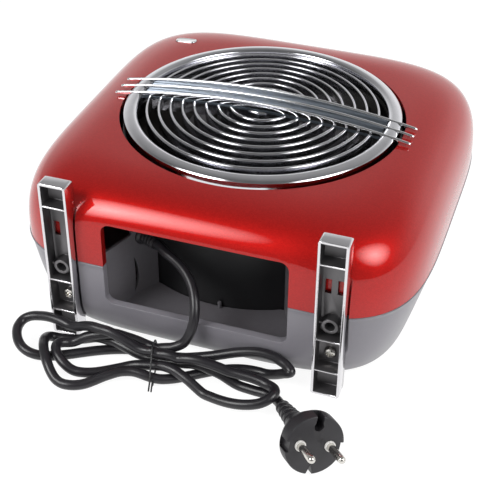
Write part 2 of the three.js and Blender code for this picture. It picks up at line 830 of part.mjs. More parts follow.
function footSolid(side) {
  const half = footWidth / 2;
  const outline = new THREE.Shape();
  outline.moveTo(soleY, 0);
  outline.lineTo(footInnerY, 0);
  outline.lineTo(footInnerY, footLength - footTipChamfer);
  outline.lineTo(footInnerY - footTipChamfer, footLength);
  outline.lineTo(soleY, footLength);
  const block = extruded(outline, footWidth);
  block.applyMatrix4(new THREE.Matrix4().set(0, 0, 1, -half, 1, 0, 0, 0, 0, 1, 0, 0, 0, 0, 0, 1));
  let foot = solid(block);
  const stops = [0, ...[...footRibZs].reverse(), footLength];
  for (let k = 0; k + 1 < stops.length; k += 1) {
    const low = k === 0 ? footWall : stops[k] + footRibWall / 2;
    const high = k + 2 === stops.length ? footLength - footWall : stops[k + 1] - footRibWall / 2;
    const inner = half - footWall;
    foot = foot.subtract(solid(box([-inner, soleY - overrun, low], [inner, footInnerY - footWebWall, high])));
  }
  const bossTopY = footInnerY - footWebWall - footBossHeight;
  const bossBar = box([-half + footWall / 2, bossTopY + footBossHeight / 3, footBossZ - footRibWall / 2],
    [half - footWall / 2, footInnerY - footWebWall / 2, footBossZ + footRibWall / 2]);
  const boss = new THREE.CylinderGeometry(footBossRadius, footBossRadius, footBossHeight + footWebWall / 2, 14);
  boss.translate(0, bossTopY + (footBossHeight + footWebWall / 2) / 2, footBossZ);
  const bore = new THREE.CylinderGeometry(footBossBore, footBossBore, footHeight + overrun, 12);
  bore.translate(0, footInnerY - footHeight / 2, footBossZ);
  foot = cut(join(foot, solid(bossBar), solid(boss)), solid(bore));
  for (const slotSide of sides) {
    const middle = slotSide * footSlotOffset;
    foot = foot.subtract(solid(box([middle - footSlotWidth / 2, footInnerY - footWebWall - overrun, footSlotLowZ],
      [middle + footSlotWidth / 2, footInnerY + overrun, footSlotHighZ])));
  }
  const screwHole = new THREE.CylinderGeometry(screwShankRadius + screwHoleGap, screwShankRadius + screwHoleGap,
    footHeight, 8);
  screwHole.translate(0, footInnerY, footScrewZ);
  foot = foot.subtract(solid(screwHole));
  const geometry = geometryOf(foot);
  geometry.translate(side * footX, 0, 0);
  return geometry;
}

// A screw along +Z with its head's top at the origin's level and its shank below
function screwGeometry(length) {
  const profile = [
    [0, -length],
    [screwShankRadius, -length],
    [screwShankRadius, -screwHeadHeight],
    [screwHeadRadius, -screwHeadHeight],
    [screwHeadRadius * 0.8, -screwHeadHeight * 0.2],
    [0, 0],
  ];
  let screw = solid(turned(profile, 8));
  const half = crossSlotLength / 2;
  const slim = crossSlotWidth / 2;
  screw = screw.subtract(solid(box([-half, -slim, -crossSlotDepth], [half, slim, overrun])));
  screw = screw.subtract(solid(box([-slim, -half, -crossSlotDepth], [slim, half, overrun])));
  return geometryOf(screw);
}

for (const side of sides) {
  const word = side < 0 ? 'left' : 'right';
  addPart(`${word}_foot`, footSolid(side), 'chrome');
  const headTopY = footInnerY - footWebWall - seatGap - screwHeadHeight;
  const screw = addPart(`${word}_foot_screw`, screwGeometry(footScrewLength), 'steel');
  screw.position.set(side * footX, headTopY, footScrewZ);
  screw.rotation.x = Math.PI / 2;
}
const shellScrewReach = shellPostTopZ - shellScrewHeadZ + shellScrewLength / 2;
screwPlaces.forEach(([x, y], k) => {
  const screw = addPart(`shell_screw_${k + 1}`, screwGeometry(shellScrewReach), 'steel');
  screw.position.set(x, y, shellScrewHeadZ - seatGap - screwHeadHeight);
  screw.rotation.x = Math.PI;
});

// Air duct, standing on the back wall and carrying the grille's skirt
const ductFootZ = shellWall + seatGap;
const ductTopZ = ringEdgeZ - ringSkirtDepth - seatGap;
const ductInner = ductRadius - ductWall;
addPart('air_duct', turned([
  [ductInner, ductFootZ],
  [ductRadius, ductFootZ],
  [ductRadius, ductTopZ],
  [ringRadius - ringSkirtWall - seatGap, ductTopZ],
  [ringRadius - ringSkirtWall - seatGap, ductTopZ - ductFlangeThickness],
  [ductInner, ductTopZ - 2 * ductFlangeThickness],
], ductSides), 'black');

// Cord compartment: ledge, angled side walls and a small pin, shaped round the duct
const bayMouthY = undersideY + bayRimDepth + seatGap;
const bayRearY = undersideY + shellWall + undersideBlend + seatGap;
const ledgeLowZ = bayFloorZ - bayWall;
const ductClear = ductRadius + ductGap;

function wallStrip(side, from, to, lowZ, highZ) {
  const start = new THREE.Vector2(side * from[0], from[1]);
  const end = new THREE.Vector2(side * to[0], to[1]);
  const along = end.clone().sub(start).normalize();
  end.addScaledVector(along, bayWall / 2);
  const across = new THREE.Vector2(along.y, -along.x).multiplyScalar(side * bayWall);
  const shape = new THREE.Shape([start, end, end.clone().add(across), start.clone().add(across)]);
  const geometry = extruded(shape, highZ - lowZ);
  geometry.translate(0, 0, lowZ);
  return solid(geometry);
}

const fold = [bayFoldX, undersideY + bayFoldDepth];
const mouth = [bayMouthX, bayMouthY];
const inner = [bayInnerX, bayDuctLap - ductRadius];
let bay = solid(box([-bayMouthX, bayRearY, ledgeLowZ], [bayMouthX, inner[1], bayFloorZ]));
for (const side of sides) {
  bay = join(bay, wallStrip(side, mouth, fold, ledgeLowZ, bayWallTopZ));
  const tallTop = side < 0 ? bushZ + 2 * bushShoulderRadius : bayWallTopZ;
  bay = join(bay, wallStrip(side, fold, inner, ledgeLowZ, tallTop));
}
bay = bay.subtract(solid(disc(ductClear, 0, faceZ, ductSides)));

// The bush sits square in the second panel of the left wall
const panelAlong = new THREE.Vector3(-inner[0] + fold[0], inner[1] - fold[1], 0).normalize();
const bushAxis = new THREE.Vector3(panelAlong.y, -panelAlong.x, 0);
const bushSeat = new THREE.Vector3(-fold[0], fold[1], bushZ).addScaledVector(panelAlong, bushAlongPanel);
const bushHole = new THREE.CylinderGeometry(bushNeckRadius + seatGap, bushNeckRadius + seatGap, 6 * bayWall, 12);
bushHole.applyQuaternion(new THREE.Quaternion().setFromUnitVectors(new THREE.Vector3(0, 1, 0), bushAxis));
bushHole.translate(bushSeat.x, bushSeat.y, bushSeat.z);
const lensShape = new THREE.Shape();
const slotFoot = bayFloorZ + bayWall;
const slotMiddle = 0.45 * slotFoot + 0.55 * baySlotTopZ;
lensShape.moveTo(0, slotFoot);
lensShape.quadraticCurveTo(2 * baySlotWidth, slotMiddle - baySlotWidth, 0.2 * baySlotWidth, baySlotTopZ);
lensShape.quadraticCurveTo(0.6 * baySlotWidth, slotMiddle - baySlotWidth, 0, slotFoot);
const slotTool = alongY(lensShape, -4 * bayWall, 4 * bayWall, 10);
slotTool.rotateZ(Math.atan2(panelAlong.y, panelAlong.x));
slotTool.translate(-fold[0], fold[1], 0);
bay = cut(bay, solid(bushHole), solid(slotTool));
const bayPin = disc(bayPinRadius, ledgeLowZ, bayFloorZ + bayPinHeight, 8);
bayPin.translate(bayPinX, -ductClear - bayPinRadius - seatGap, 0);
bay = bay.add(solid(bayPin));
addPart('cord_bay', geometryOf(bay), 'darkGrey');

const bushProfile = [
  [0, -bushInsideLength],
  [bushNeckRadius, -bushInsideLength],
  [bushNeckRadius, seatGap],
  [bushShoulderRadius, seatGap],
  [bushShoulderRadius, seatGap + bushShoulderThickness],
  [bushNeckRadius, seatGap + 1.5 * bushShoulderThickness],
  [bushEndRadius, bushOutsideLength],
  [0, bushOutsideLength],
];
const bush = addPart('cord_bush', turned(bushProfile, 12), 'black');
bush.position.copy(bushSeat);
bush.quaternion.setFromUnitVectors(new THREE.Vector3(0, 0, 1), bushAxis);

// Rear intake grille, let into the back wall
let intake = join(
  solid(disc(intakeRadius, 0, shellWall + seatGap + intakeFlangeThickness, 36)),
  solid(disc(intakeRadius + intakeFlange, shellWall + seatGap, shellWall + seatGap + intakeFlangeThickness, 36)),
);
const slotReach = intakeRadius - intakeRimWidth;
const slotRows = Math.floor(slotReach / intakeSlotPitch);
for (let row = -slotRows; row <= slotRows; row += 1) {
  const y = row * intakeSlotPitch;
  const half = Math.sqrt(slotReach ** 2 - (Math.abs(y) + intakeSlotHeight / 2) ** 2);
  if (!(half > 3 * intakeRibWidth)) continue;
  for (const side of sides) {
    const near = (side * intakeRibWidth) / 2;
    const far = side * half;
    intake = intake.subtract(solid(box(
      [Math.min(near, far), y - intakeSlotHeight / 2, -overrun],
      [Math.max(near, far), y + intakeSlotHeight / 2, shellWall + intakeFlangeThickness + overrun],
    )));
  }
}
addPart('rear_grille', geometryOf(intake), 'grey');

// Motor bracket: arms from the duct wall to a plate under the motor
const ductBore = ductInner * Math.cos(Math.PI / ductSides);
const bracketReach = Math.sqrt((ductBore - seatGap) ** 2 - (bracketArmWidth / 2) ** 2);
let bracket = solid(disc(bracketHubRadius, bracketZ, bracketZ + bracketThickness, 24));
for (let k = 0; k < bracketArmCount; k += 1) {
  const half = bracketArmWidth / 2;
  const arm = box([0, -half, bracketZ], [bracketReach, half, bracketZ + bracketThickness]);
  const padLow = [bracketReach - bracketFootThickness, -half, bracketZ];
  const pad = box(padLow, [bracketReach, half, bracketZ + bracketFootHeight]);
  const turn = Math.PI / 6 + (2 * Math.PI * k) / bracketArmCount;
  bracket = join(bracket, solid(arm.rotateZ(turn)), solid(pad.rotateZ(turn)));
}
bracket = bracket.subtract(solid(disc(bracketWindowRadius, 0, faceZ, 20)));

// Shaded-pole motor standing on the bracket
const rearBridgeZ = bracketZ + bracketThickness + seatGap;
const stackLowZ = rearBridgeZ + bearingStandoff;
const stackHighZ = stackLowZ + motorStack;
const stackShape = roundedRectangle(motorWidth / 2, motorWidth / 2, motorCorner);
const stack = extruded(stackShape, motorStack, 3).translate(0, 0, stackLowZ);
const coilMiddle = motorWidth / 2 + coilDepth / 2 + seatGap;
const stator = cut(solid(stack), solid(disc(motorBore, 0, faceZ, 20)));
addPart('motor_bracket', geometryOf(bracket), 'steel');
addPart('motor_stator', geometryOf(stator), 'steel');
const coilShape = roundedRectangle(coilWidth / 2, coilDepth / 2, coilDepth / 3);
const coil = extruded(coilShape, coilLength, 4);
coil.translate(0, coilMiddle, (stackLowZ + stackHighZ - coilLength) / 2);
addPart('motor_coil', coil, 'copper');

function bridge(lowZ, legLowZ, legHighZ) {
  const half = motorWidth / 2 - seatGap;
  const slim = bearingBridgeWidth / 2;
  let plate = solid(box([-half, -slim, lowZ], [half, slim, lowZ + bearingBridgeThickness]));
  for (const side of sides) {
    const near = side * half;
    const far = side * (half - bearingBridgeThickness);
    const leg = box([Math.min(near, far), -slim, legLowZ], [Math.max(near, far), slim, legHighZ]);
    plate = plate.add(solid(leg));
  }
  const middle = lowZ + bearingBridgeThickness / 2;
  plate = plate.add(solid(disc(bearingRadius, middle - bearingLength / 2, middle + bearingLength / 2, 14)));
  return geometryOf(plate.subtract(solid(disc(rotorShaftRadius + bearingGap, 0, faceZ, 14))));
}

const rearPlateZ = rearBridgeZ;
addPart('rear_bearing_bridge', bridge(rearPlateZ, rearPlateZ, stackLowZ - seatGap), 'steel');
const frontPlateZ = stackHighZ + bearingStandoff - bearingBridgeThickness;
addPart('front_bearing_bridge', bridge(frontPlateZ, stackHighZ + seatGap,
  frontPlateZ + bearingBridgeThickness), 'steel');

const fanLowZ = frontPlateZ + bearingBridgeThickness + fanHubGap;
const fanSpin = new THREE.Group();
const shaftLowZ = rearPlateZ - bearingLength / 2;
const shaftHighZ = fanLowZ + fanHubHeight - 2 * seatGap;
addPart('motor_rotor', turned([
  [0, shaftLowZ],
  [rotorShaftRadius, shaftLowZ],
  [rotorShaftRadius, stackLowZ],
  [rotorRadius, stackLowZ],
  [rotorRadius, stackHighZ],
  [rotorShaftRadius, stackHighZ],
  [rotorShaftRadius, shaftHighZ],
  [0, shaftHighZ],
], 14), 'steel', fanSpin);

// Fan wheel: a cupped hub and pitched blades that widen outwards
function bladeSolid() {
  const steps = 3;
  const rings = [];
  for (let i = 0; i <= steps; i += 1) {
    const share = i / steps;
    const radius = fanHubRadius - fanBladeRoot + share * (fanRadius - fanHubRadius + fanBladeRoot);
    const half = (fanBladeWidth / 2) * (0.62 + 0.38 * Math.sin((share * Math.PI) / 1.6));
    const pitch = Math.asin(fanBladePitch / fanBladeWidth) * (1.25 - 0.45 * share);
    const sweep = 0.12 * share * share;
    const ring = [];
    for (const [along, above] of [[-1, -1], [0, -0.7], [1, -1], [1, 1], [0, 1.3], [-1, 1]]) {
      const camber = fanBladeCamber * (1 - along * along);
      const y = half * along * Math.cos(pitch);
      const z = half * along * Math.sin(pitch) + camber + (above * fanBladeWall) / 2;
      const turn = sweep + y / radius;
      ring.push(new THREE.Vector3(radius * Math.cos(turn), radius * Math.sin(turn), z));
    }
    rings.push(ring);
  }
  return loft(rings);
}

let wheel = solid(turned([
  [rotorShaftRadius + bearingGap, fanLowZ],
  [fanHubRadius * 0.45, fanLowZ],
  [fanHubRadius * 0.45, fanLowZ + fanHubHeight * 0.6],
  [fanHubRadius - fanBladeWall, fanLowZ + fanHubHeight * 0.6],
  [fanHubRadius - fanBladeWall, fanLowZ],
  [fanHubRadius, fanLowZ],
  [fanHubRadius, fanLowZ + fanHubHeight * 0.85],
  [fanHubRadius * 0.85, fanLowZ + fanHubHeight],
  [rotorShaftRadius + bearingGap, fanLowZ + fanHubHeight],
], 20));
for (let k = 0; k < fanBladeCount; k += 1) {
  const blade = bladeSolid();
  blade.translate(0, 0, fanLowZ + fanHubHeight / 2);
  blade.rotateZ((2 * Math.PI * k) / fanBladeCount);
  wheel = wheel.add(solid(blade).subtract(solid(disc(fanHubRadius - fanBladeWall / 2, 0, faceZ, 20))));
}
addPart('fan_wheel', geometryOf(wheel), 'black', fanSpin);
heater.add(fanSpin);

// Heating element: a plate across the duct with finned bars in its window
const frameOuter = solid(disc(ductBore - seatGap, heaterFrameZ, heaterFrameZ + heaterFrameThickness, ductSides));
const windowShape = roundedRectangle(heaterWindowHalfX, heaterWindowHalfY, heaterFrameCorner);
const windowTool = extruded(windowShape, faceZ, 3);
addPart('heater_frame', geometryOf(frameOuter.subtract(solid(windowTool))), 'mica');

const packHalfX = heaterWindowHalfX - seatGap;
const packHalfY = heaterWindowHalfY - seatGap;
const packLowZ = heaterFrameZ - (elementDepth - heaterFrameThickness) / 2;
const packShape = roundedRectangle(packHalfX, packHalfY, heaterFrameCorner);
let pack = solid(extruded(packShape, elementDepth, 3).translate(0, 0, packLowZ));
const rowPitch = (2 * packHalfY) / elementRows;
const rowGap = rowPitch - elementBarHeight;
const finColumns = Math.floor((2 * packHalfX - elementFinPitch) / elementFinPitch);
for (let row = 0; row < elementRows; row += 1) {
  const y = -packHalfY + (row + 0.5) * rowPitch;
  for (let column = 0; column < finColumns; column += 1) {
    const x = (column - (finColumns - 1) / 2) * elementFinPitch;
    pack = pack.subtract(solid(box([x - elementFinGap / 2, y - rowGap / 2, 0],
      [x + elementFinGap / 2, y + rowGap / 2, faceZ])));
  }
}
addPart('heating_element', geometryOf(pack), 'element');
const cutout = disc(cutoutRadius, 0, cutoutHeight, 16);
cutout.translate(cutoutX, 0, heaterFrameZ + heaterFrameThickness + seatGap);
addPart('thermal_cutout', cutout, 'steel');

// Control panel with two knobs and a lamp lens
const panelPlate = alongY(panelShape, panelY - panelThickness, panelY);
const panelBack = alongY(panelBackShape, panelY - 2 * panelThickness, panelY - panelThickness / 2);
let panel = join(solid(panelPlate), solid(panelBack));
const controlXs = [-knobSpacing / 2, knobSpacing / 2];
for (const x of controlXs) {
  const hole = new THREE.CylinderGeometry(controlShaftRadius + controlShaftGap,
    controlShaftRadius + controlShaftGap, 6 * panelThickness, 12);
  panel = panel.subtract(solid(hole.translate(x, panelY, 0)));
}
const lensHole = new THREE.CylinderGeometry(lensRadius * 0.7 + seatGap, lensRadius * 0.7 + seatGap,
  6 * panelThickness, 10);
panel = panel.subtract(solid(lensHole.translate(0, panelY, 0)));
const panelMesh = addPart('control_panel', geometryOf(panel), 'black');
panelMesh.position.z = knobZ;

const lens = addPart('pilot_lens', turned([
  [0, -lensStem],
  [lensRadius * 0.7, -lensStem],
  [lensRadius * 0.7, seatGap],
  [lensRadius, seatGap],
  [lensRadius * 0.85, seatGap + lensRise * 0.6],
  [lensRadius * 0.45, seatGap + lensRise],
  [0, seatGap + lensRise * 1.1],
], 10), 'lens');
lens.position.set(0, panelY, knobZ);
lens.rotation.x = -Math.PI / 2;

const shaftReach = 0.55 * knobHeight;

function knobSolid() {
  let knob = solid(turned([
    [0, 0],
    [knobSkirtRadius, 0],
    [knobSkirtRadius, knobSkirtHeight],
    [knobRadius, knobSkirtHeight + knobStep],
    [knobRadius * 0.93, knobHeight - knobEdge],
    [knobRadius * 0.87, knobHeight],
    [0, knobHeight],
  ], 20));
  for (let k = 0; k < knobGripCount; k += 1) {
    const groove = box([knobRadius - knobGripDepth, -knobGripDepth, knobSkirtHeight + 2 * knobStep],
      [knobRadius + overrun, knobGripDepth, knobHeight + overrun]);
    groove.rotateZ((2 * Math.PI * (k + 0.5)) / knobGripCount);
    knob = knob.subtract(solid(groove));
  }
  const pointer = box([knobRadius * 0.25, -knobPointerWidth / 2, knobHeight - knobPointerDepth],
    [knobRadius * 0.8, knobPointerWidth / 2, knobHeight + overrun]);
  const socket = disc(controlShaftRadius + seatGap / 2, -overrun, shaftReach + seatGap, 12);
  knob = cut(knob, solid(pointer), solid(socket));
  return geometryOf(knob);
}

function shaftSolid(length) {
  const shaft = solid(disc(controlShaftRadius, 0, length, 12));
  const flat = box([-controlShaftRadius, controlShaftRadius * shaftFlatShare, length - shaftReach + knobStep],
    [controlShaftRadius, controlShaftRadius + overrun, length + overrun]);
  return geometryOf(shaft.subtract(solid(flat)));
}

const controlBodies = [
  ['thermostat', 'thermostat_knob', 'thermostat_shaft', controlXs[0], thermostatSize, thermostatDepth],
  ['mode_switch', 'mode_knob', 'mode_shaft', controlXs[1], switchSize, switchDepth],
];
for (const [bodyName, knobName, shaftName, x, size, depth] of controlBodies) {
  const turning = new THREE.Group();
  turning.position.set(x, panelY, knobZ);
  turning.rotation.x = -Math.PI / 2;
  const knob = addPart(knobName, knobSolid(), 'black', turning);
  knob.position.z = knobPanelGap;
  const bodyTop = -2 * panelThickness - seatGap;
  const shaftFoot = bodyTop - depth / 2;
  const shaftLength = knobPanelGap + shaftReach - shaftFoot;
  const shaft = addPart(shaftName, shaftSolid(shaftLength), 'steel', turning);
  shaft.position.z = shaftFoot;
  heater.add(turning);
  const casingShape = roundedRectangle(size / 2, size / 2, controlCorner);
  const casing = solid(extruded(casingShape, depth, 3).translate(0, 0, bodyTop - depth));
  const well = solid(disc(controlShaftRadius + controlShaftGap, shaftFoot - seatGap, overrun, 12));
  const device = addPart(bodyName, geometryOf(casing.subtract(well)), 'whitePlastic');
  device.position.copy(turning.position);
  device.rotation.copy(turning.rotation);
}

// Terminal block on the back wall beside the duct, where the cord's cores end
const terminal = new THREE.BoxGeometry(terminalWidth, terminalDepth, terminalHeight);
let terminalBlock = solid(terminal);
for (let k = 0; k < coreCount; k += 1) {
  const x = ((k - (coreCount - 1) / 2) * terminalWidth) / coreCount;
  const core = new THREE.CylinderGeometry(terminalHeight / 8, terminalHeight / 8, 2 * terminalDepth, 8);
  terminalBlock = terminalBlock.subtract(solid(core.translate(x, 0, 0)));
}
const terminalMesh = addPart('terminal_block', geometryOf(terminalBlock), 'whitePlastic');
const terminalY = inner[1] + terminalBayGap;
const terminalX = -Math.sqrt((ductRadius + terminalDuctGap) ** 2 - terminalY ** 2);
terminalMesh.position.set(terminalX, terminalY, shellWall + seatGap + terminalHeight / 2);

// Plug: notched face, tapering body, ribbed sleeve and two pins

const fromUnderside = ([x, y, z]) => new THREE.Vector3(x, undersideY + y, z);
const plugFace = fromUnderside(plugPlace);
const plugAxis = new THREE.Vector3(...plugAimShares).normalize();
const plugFrame = new THREE.Group();
const plugTurn = new THREE.Matrix4();
const plugSide = new THREE.Vector3(-plugAxis.y, plugAxis.x, 0).normalize();
plugSide.applyAxisAngle(plugAxis, plugRollShare * Math.PI);
const plugUp = new THREE.Vector3().crossVectors(plugAxis, plugSide).normalize();
plugTurn.makeBasis(plugSide, plugUp, plugAxis);
plugFrame.position.copy(plugFace);
plugFrame.quaternion.setFromRotationMatrix(plugTurn);
heater.add(plugFrame);

const plugBack = plugBodyLength;
let plugBody = solid(turned([
  [0, -plugBack],
  [plugNeckRadius, -plugBack],
  [plugNeckRadius * 1.25, -plugBack * 0.8],
  [plugRadius * 0.86, -plugFaceThickness * 1.5],
  [plugRadius, -plugFaceThickness],
  [plugRadius, -plugEdge],
  [plugRadius - plugEdge, 0],
  [0, 0],
], 24));
const notchFloor = plugRadius - plugNotchDepth;
const keyhole = new THREE.CylinderGeometry(plugKeyholeRadius, plugKeyholeRadius, 2 * plugFaceThickness, 14);
keyhole.rotateX(Math.PI / 2);
keyhole.translate(0, notchFloor, 0);
const keySlot = box([-plugNotchWidth / 2, notchFloor, -plugFaceThickness],
  [plugNotchWidth / 2, plugRadius + overrun, overrun]);
const veeShape = new THREE.Shape();
veeShape.moveTo(0, -notchFloor);
veeShape.lineTo(plugNotchWidth * 0.7, -plugRadius - overrun);
veeShape.lineTo(-plugNotchWidth * 0.7, -plugRadius - overrun);
const vee = extruded(veeShape, 2 * plugFaceThickness).translate(0, 0, -plugFaceThickness);
plugBody = cut(plugBody, solid(keyhole), solid(keySlot), solid(vee));
for (const side of sides) {
  const notch = box([side * plugRadius - plugSideNotch, -plugNotchWidth, -plugFaceThickness],
    [side * plugRadius + plugSideNotch, plugNotchWidth / 2, overrun]);
  plugBody = plugBody.subtract(solid(notch));
  const collar = disc(pinCollarRadius, -pinCollarSink, pinCollarHeight, 12).translate((side * pinSpacing) / 2, 0, 0);
  const socket = disc(pinRadius + pinFit, -plugFaceThickness, overrun, 12).translate((side * pinSpacing) / 2, 0, 0);
  plugBody = cut(plugBody.add(solid(collar)), solid(socket));
}
addPart('plug_body', geometryOf(plugBody), 'black', plugFrame);
for (const side of sides) {
  const pin = addPart(side < 0 ? 'plug_pin_left' : 'plug_pin_right', turned([
    [0, -plugFaceThickness + seatGap],
    [pinRadius - pinStep, -plugFaceThickness + seatGap],
    [pinRadius - pinStep, pinCollarHeight],
    [pinRadius, pinCollarHeight + seatGap],
    [pinRadius, pinLength - pinRadius],
    [pinRadius * 0.7, pinLength - pinRadius * 0.3],
    [0, pinLength],
  ], 12), 'steel', plugFrame);
  pin.position.x = (side * pinSpacing) / 2;
}

const reliefBack = -plugBack - seatGap;
const reliefProfile = [[0, reliefBack - reliefLength], [reliefStartRadius, reliefBack - reliefLength]];
for (let k = 0; k < reliefRingCount; k += 1) {
  const share = (k + 0.5) / reliefRingCount;
  const z = reliefBack - reliefLength * (1 - share);
  const radius = reliefStartRadius + share * (plugNeckRadius * 0.85 - reliefStartRadius);
  const quarter = reliefLength / reliefRingCount / 4;
  reliefProfile.push([radius, z - quarter], [radius - reliefRingDepth, z]);
  reliefProfile.push([radius - reliefRingDepth, z + quarter * 0.8], [radius + pinStep, z + quarter]);
}
reliefProfile.push([plugNeckRadius * 0.85, reliefBack], [0, reliefBack]);
addPart('plug_sleeve', turned(reliefProfile, 8), 'black', plugFrame);

// Free cord, from the bush down over the compartment's lip, through points chosen by hand
const leadStart = bushSeat.clone().addScaledVector(bushAxis, bushOutsideLength + seatGap);
const hankStart = fromUnderside(hankStartPlace);
const hankStartAlong = new THREE.Vector3(...hankStartShares).normalize();

// The hank: lobes to the left and right of the tie, drawn in at the waist. Strands are numbered from the lead.
const sineWave = (share, count) => Math.sin(count * Math.PI * share);
const smooth = (share) => share * share * (3 - 2 * share);
const tieRoom = 2 * tieRadius + tieGap;
const cordFloorZ = cordRadius + cordFloorGap;
const sleeveStart = plugFace.clone().addScaledVector(plugAxis, reliefBack - reliefLength - seatGap);
const endStraight = 2 * cordRadius;

const trail = [];
function lay(x, y, rank, heldZ = 0) {
  trail.push({ x, y, rank, heldZ, z: 0 });
}

const strandY = (strand) => waistPlace[1] + strandShares[strand] * hankPitch;
for (const share of [0, 0.5, 1]) {
  const point = hankStart.clone().addScaledVector(hankStartAlong, share * endStraight);
  lay(point.x, point.y, lobeRankShares[0][0], point.z);
}
lobeReaches.forEach((reach, lobe) => {
  const side = lobe % 2 === 0 ? -1 : 1;
  const [startY, endY] = [strandY(lobe), strandY(lobe + 1)];
  const [sway, fineSway, belly, fineBelly] = lobeWaves[lobe];
  const [firstRise, endRise, secondRise, lean] = lobeRises[lobe];
  for (let i = 1; i <= lobeSteps; i += 1) {
    const t = i / lobeSteps;
    const x = waistPlace[0] + side * reach * (sineWave(t, 1) + lobePinchShares[lobe] * sineWave(t, 3));
    const y = startY + (endY - startY) * smooth(t) +
      sway * (sineWave(t, 1) - sineWave(t, 3) / 3) + fineSway * (sineWave(t, 1) - sineWave(t, 5) / 5) +
      belly * (sineWave(t, 2) - sineWave(t, 4) / 2) + fineBelly * (sineWave(t, 2) - sineWave(t, 6) / 3);
    const half = t < 0.5 ? 0 : 1;
    const evenWave = leanEvenShare * (sineWave(t, 1) - sineWave(t, 5) / 5);
    const rise = (half === 0 ? firstRise : secondRise) * sineWave(t, 2) ** 2 + endRise * sineWave(t, 1) ** 6 +
      lean * (evenWave + sineWave(t, 2) - sineWave(t, 4) / 2);
    lay(x, y, lobeRankShares[lobe][half], cordFloorZ + rise);
  }
});
// The last run leaves the waist on the floor and rises over a lobe's end to the plug
const runEnd = sleeveStart.clone().addScaledVector(plugAxis, -endStraight);
const runPath = new THREE.CatmullRomCurve3([
  new THREE.Vector3(waistPlace[0], strandY(lobeReaches.length), cordFloorZ),
  ...runPoints.map(fromUnderside),
  runEnd,
]);
for (let i = 1; i < runSteps; i += 1) {
  const point = runPath.getPointAt(i / runSteps);
  lay(point.x, point.y, runRankShares[point.x < runDropX ? 0 : 1], Math.max(point.z, cordFloorZ));
}
for (const share of [0, 0.5, 1]) {
  const point = runEnd.clone().addScaledVector(plugAxis, share * endStraight);
  lay(point.x, point.y, runRankShares[1], point.z);
}

// Each strand rests on the floor, on the tie or in a long low hump over the strands laid before it
function settle() {
  const along = [0];
  for (let i = 1; i < trail.length; i += 1) {
    along.push(along[i - 1] + Math.hypot(trail[i].x - trail[i - 1].x, trail[i].y - trail[i - 1].y));
  }
  const bases = trail.map((point) => {
    const near = Math.max(0, 1 - Math.abs(point.x - waistPlace[0]) / tieFade);
    return cordFloorZ + tieRoom * smooth(near);
  });
  const floors = trail.map((point, i) => Math.max(point.heldZ, bases[i]));
  let heights = floors.slice();
  for (let pass = 0; pass < settlePasses; pass += 1) {
    const needs = floors.slice();
    trail.forEach((upper, i) => {
      trail.forEach((under, j) => {
        const apart = Math.hypot(upper.x - under.x, upper.y - under.y);
        if (under.rank >= upper.rank || apart >= hankPitch) return;
        if (Math.abs(along[i] - along[j]) < 4 * hankPitch) return;
        needs[i] = Math.max(needs[i], heights[j] + Math.sqrt(hankPitch ** 2 - apart ** 2));
      });
    });
    heights = floors.map((floor, i) => {
      let lifted = floor;
      needs.forEach((need, k) => {
        const share = Math.min(1, Math.abs(along[i] - along[k]) / humpReach);
        lifted = Math.max(lifted, bases[i] + (need - bases[k]) * Math.cos((share * Math.PI) / 2) ** 2);
      });
      return lifted;
    });
  }
  return trail.map((point, i) => {
    const atEnd = i < 3 || i + 3 >= trail.length;
    return new THREE.Vector3(point.x, point.y, atEnd ? point.heldZ : heights[i]);
  });
}

const settled = settle();
const hankPath = new THREE.CatmullRomCurve3(settled);

function tube(path, radius, sides, step) {
  const steps = Math.round(path.getLength() / step);
  const section = new THREE.Shape();
  for (let i = 0; i < sides; i += 1) {
    const turn = (2 * Math.PI * i) / sides;
    const [x, y] = [radius * Math.cos(turn), radius * Math.sin(turn)];
    if (i === 0) section.moveTo(x, y);
    else section.lineTo(x, y);
  }
  return new THREE.ExtrudeGeometry(section, { steps, bevelEnabled: false, extrudePath: path });
}

// Least gap of a tube to itself, between points that lie more than four diameters apart along it
function leastGap(path, radius, step) {
  const count = Math.round(path.getLength() / step);
  const points = path.getSpacedPoints(count);
  let least = Infinity;
  const skip = Math.ceil((8 * radius) / step);
  for (let i = 0; i < count; i += 1) {
    for (let j = i + skip; j <= count; j += 1) least = Math.min(least, points[i].distanceTo(points[j]));
  }
  return least - 2 * radius;
}

const leadEnd = hankStart.clone().addScaledVector(hankStartAlong, -seatGap);
const leadPath = new THREE.CatmullRomCurve3([
  leadStart,
  leadStart.clone().addScaledVector(bushAxis, endStraight / 2),
  ...leadPoints.map(fromUnderside),
  leadEnd.clone().addScaledVector(hankStartAlong, -endStraight / 2),
  leadEnd,
]);

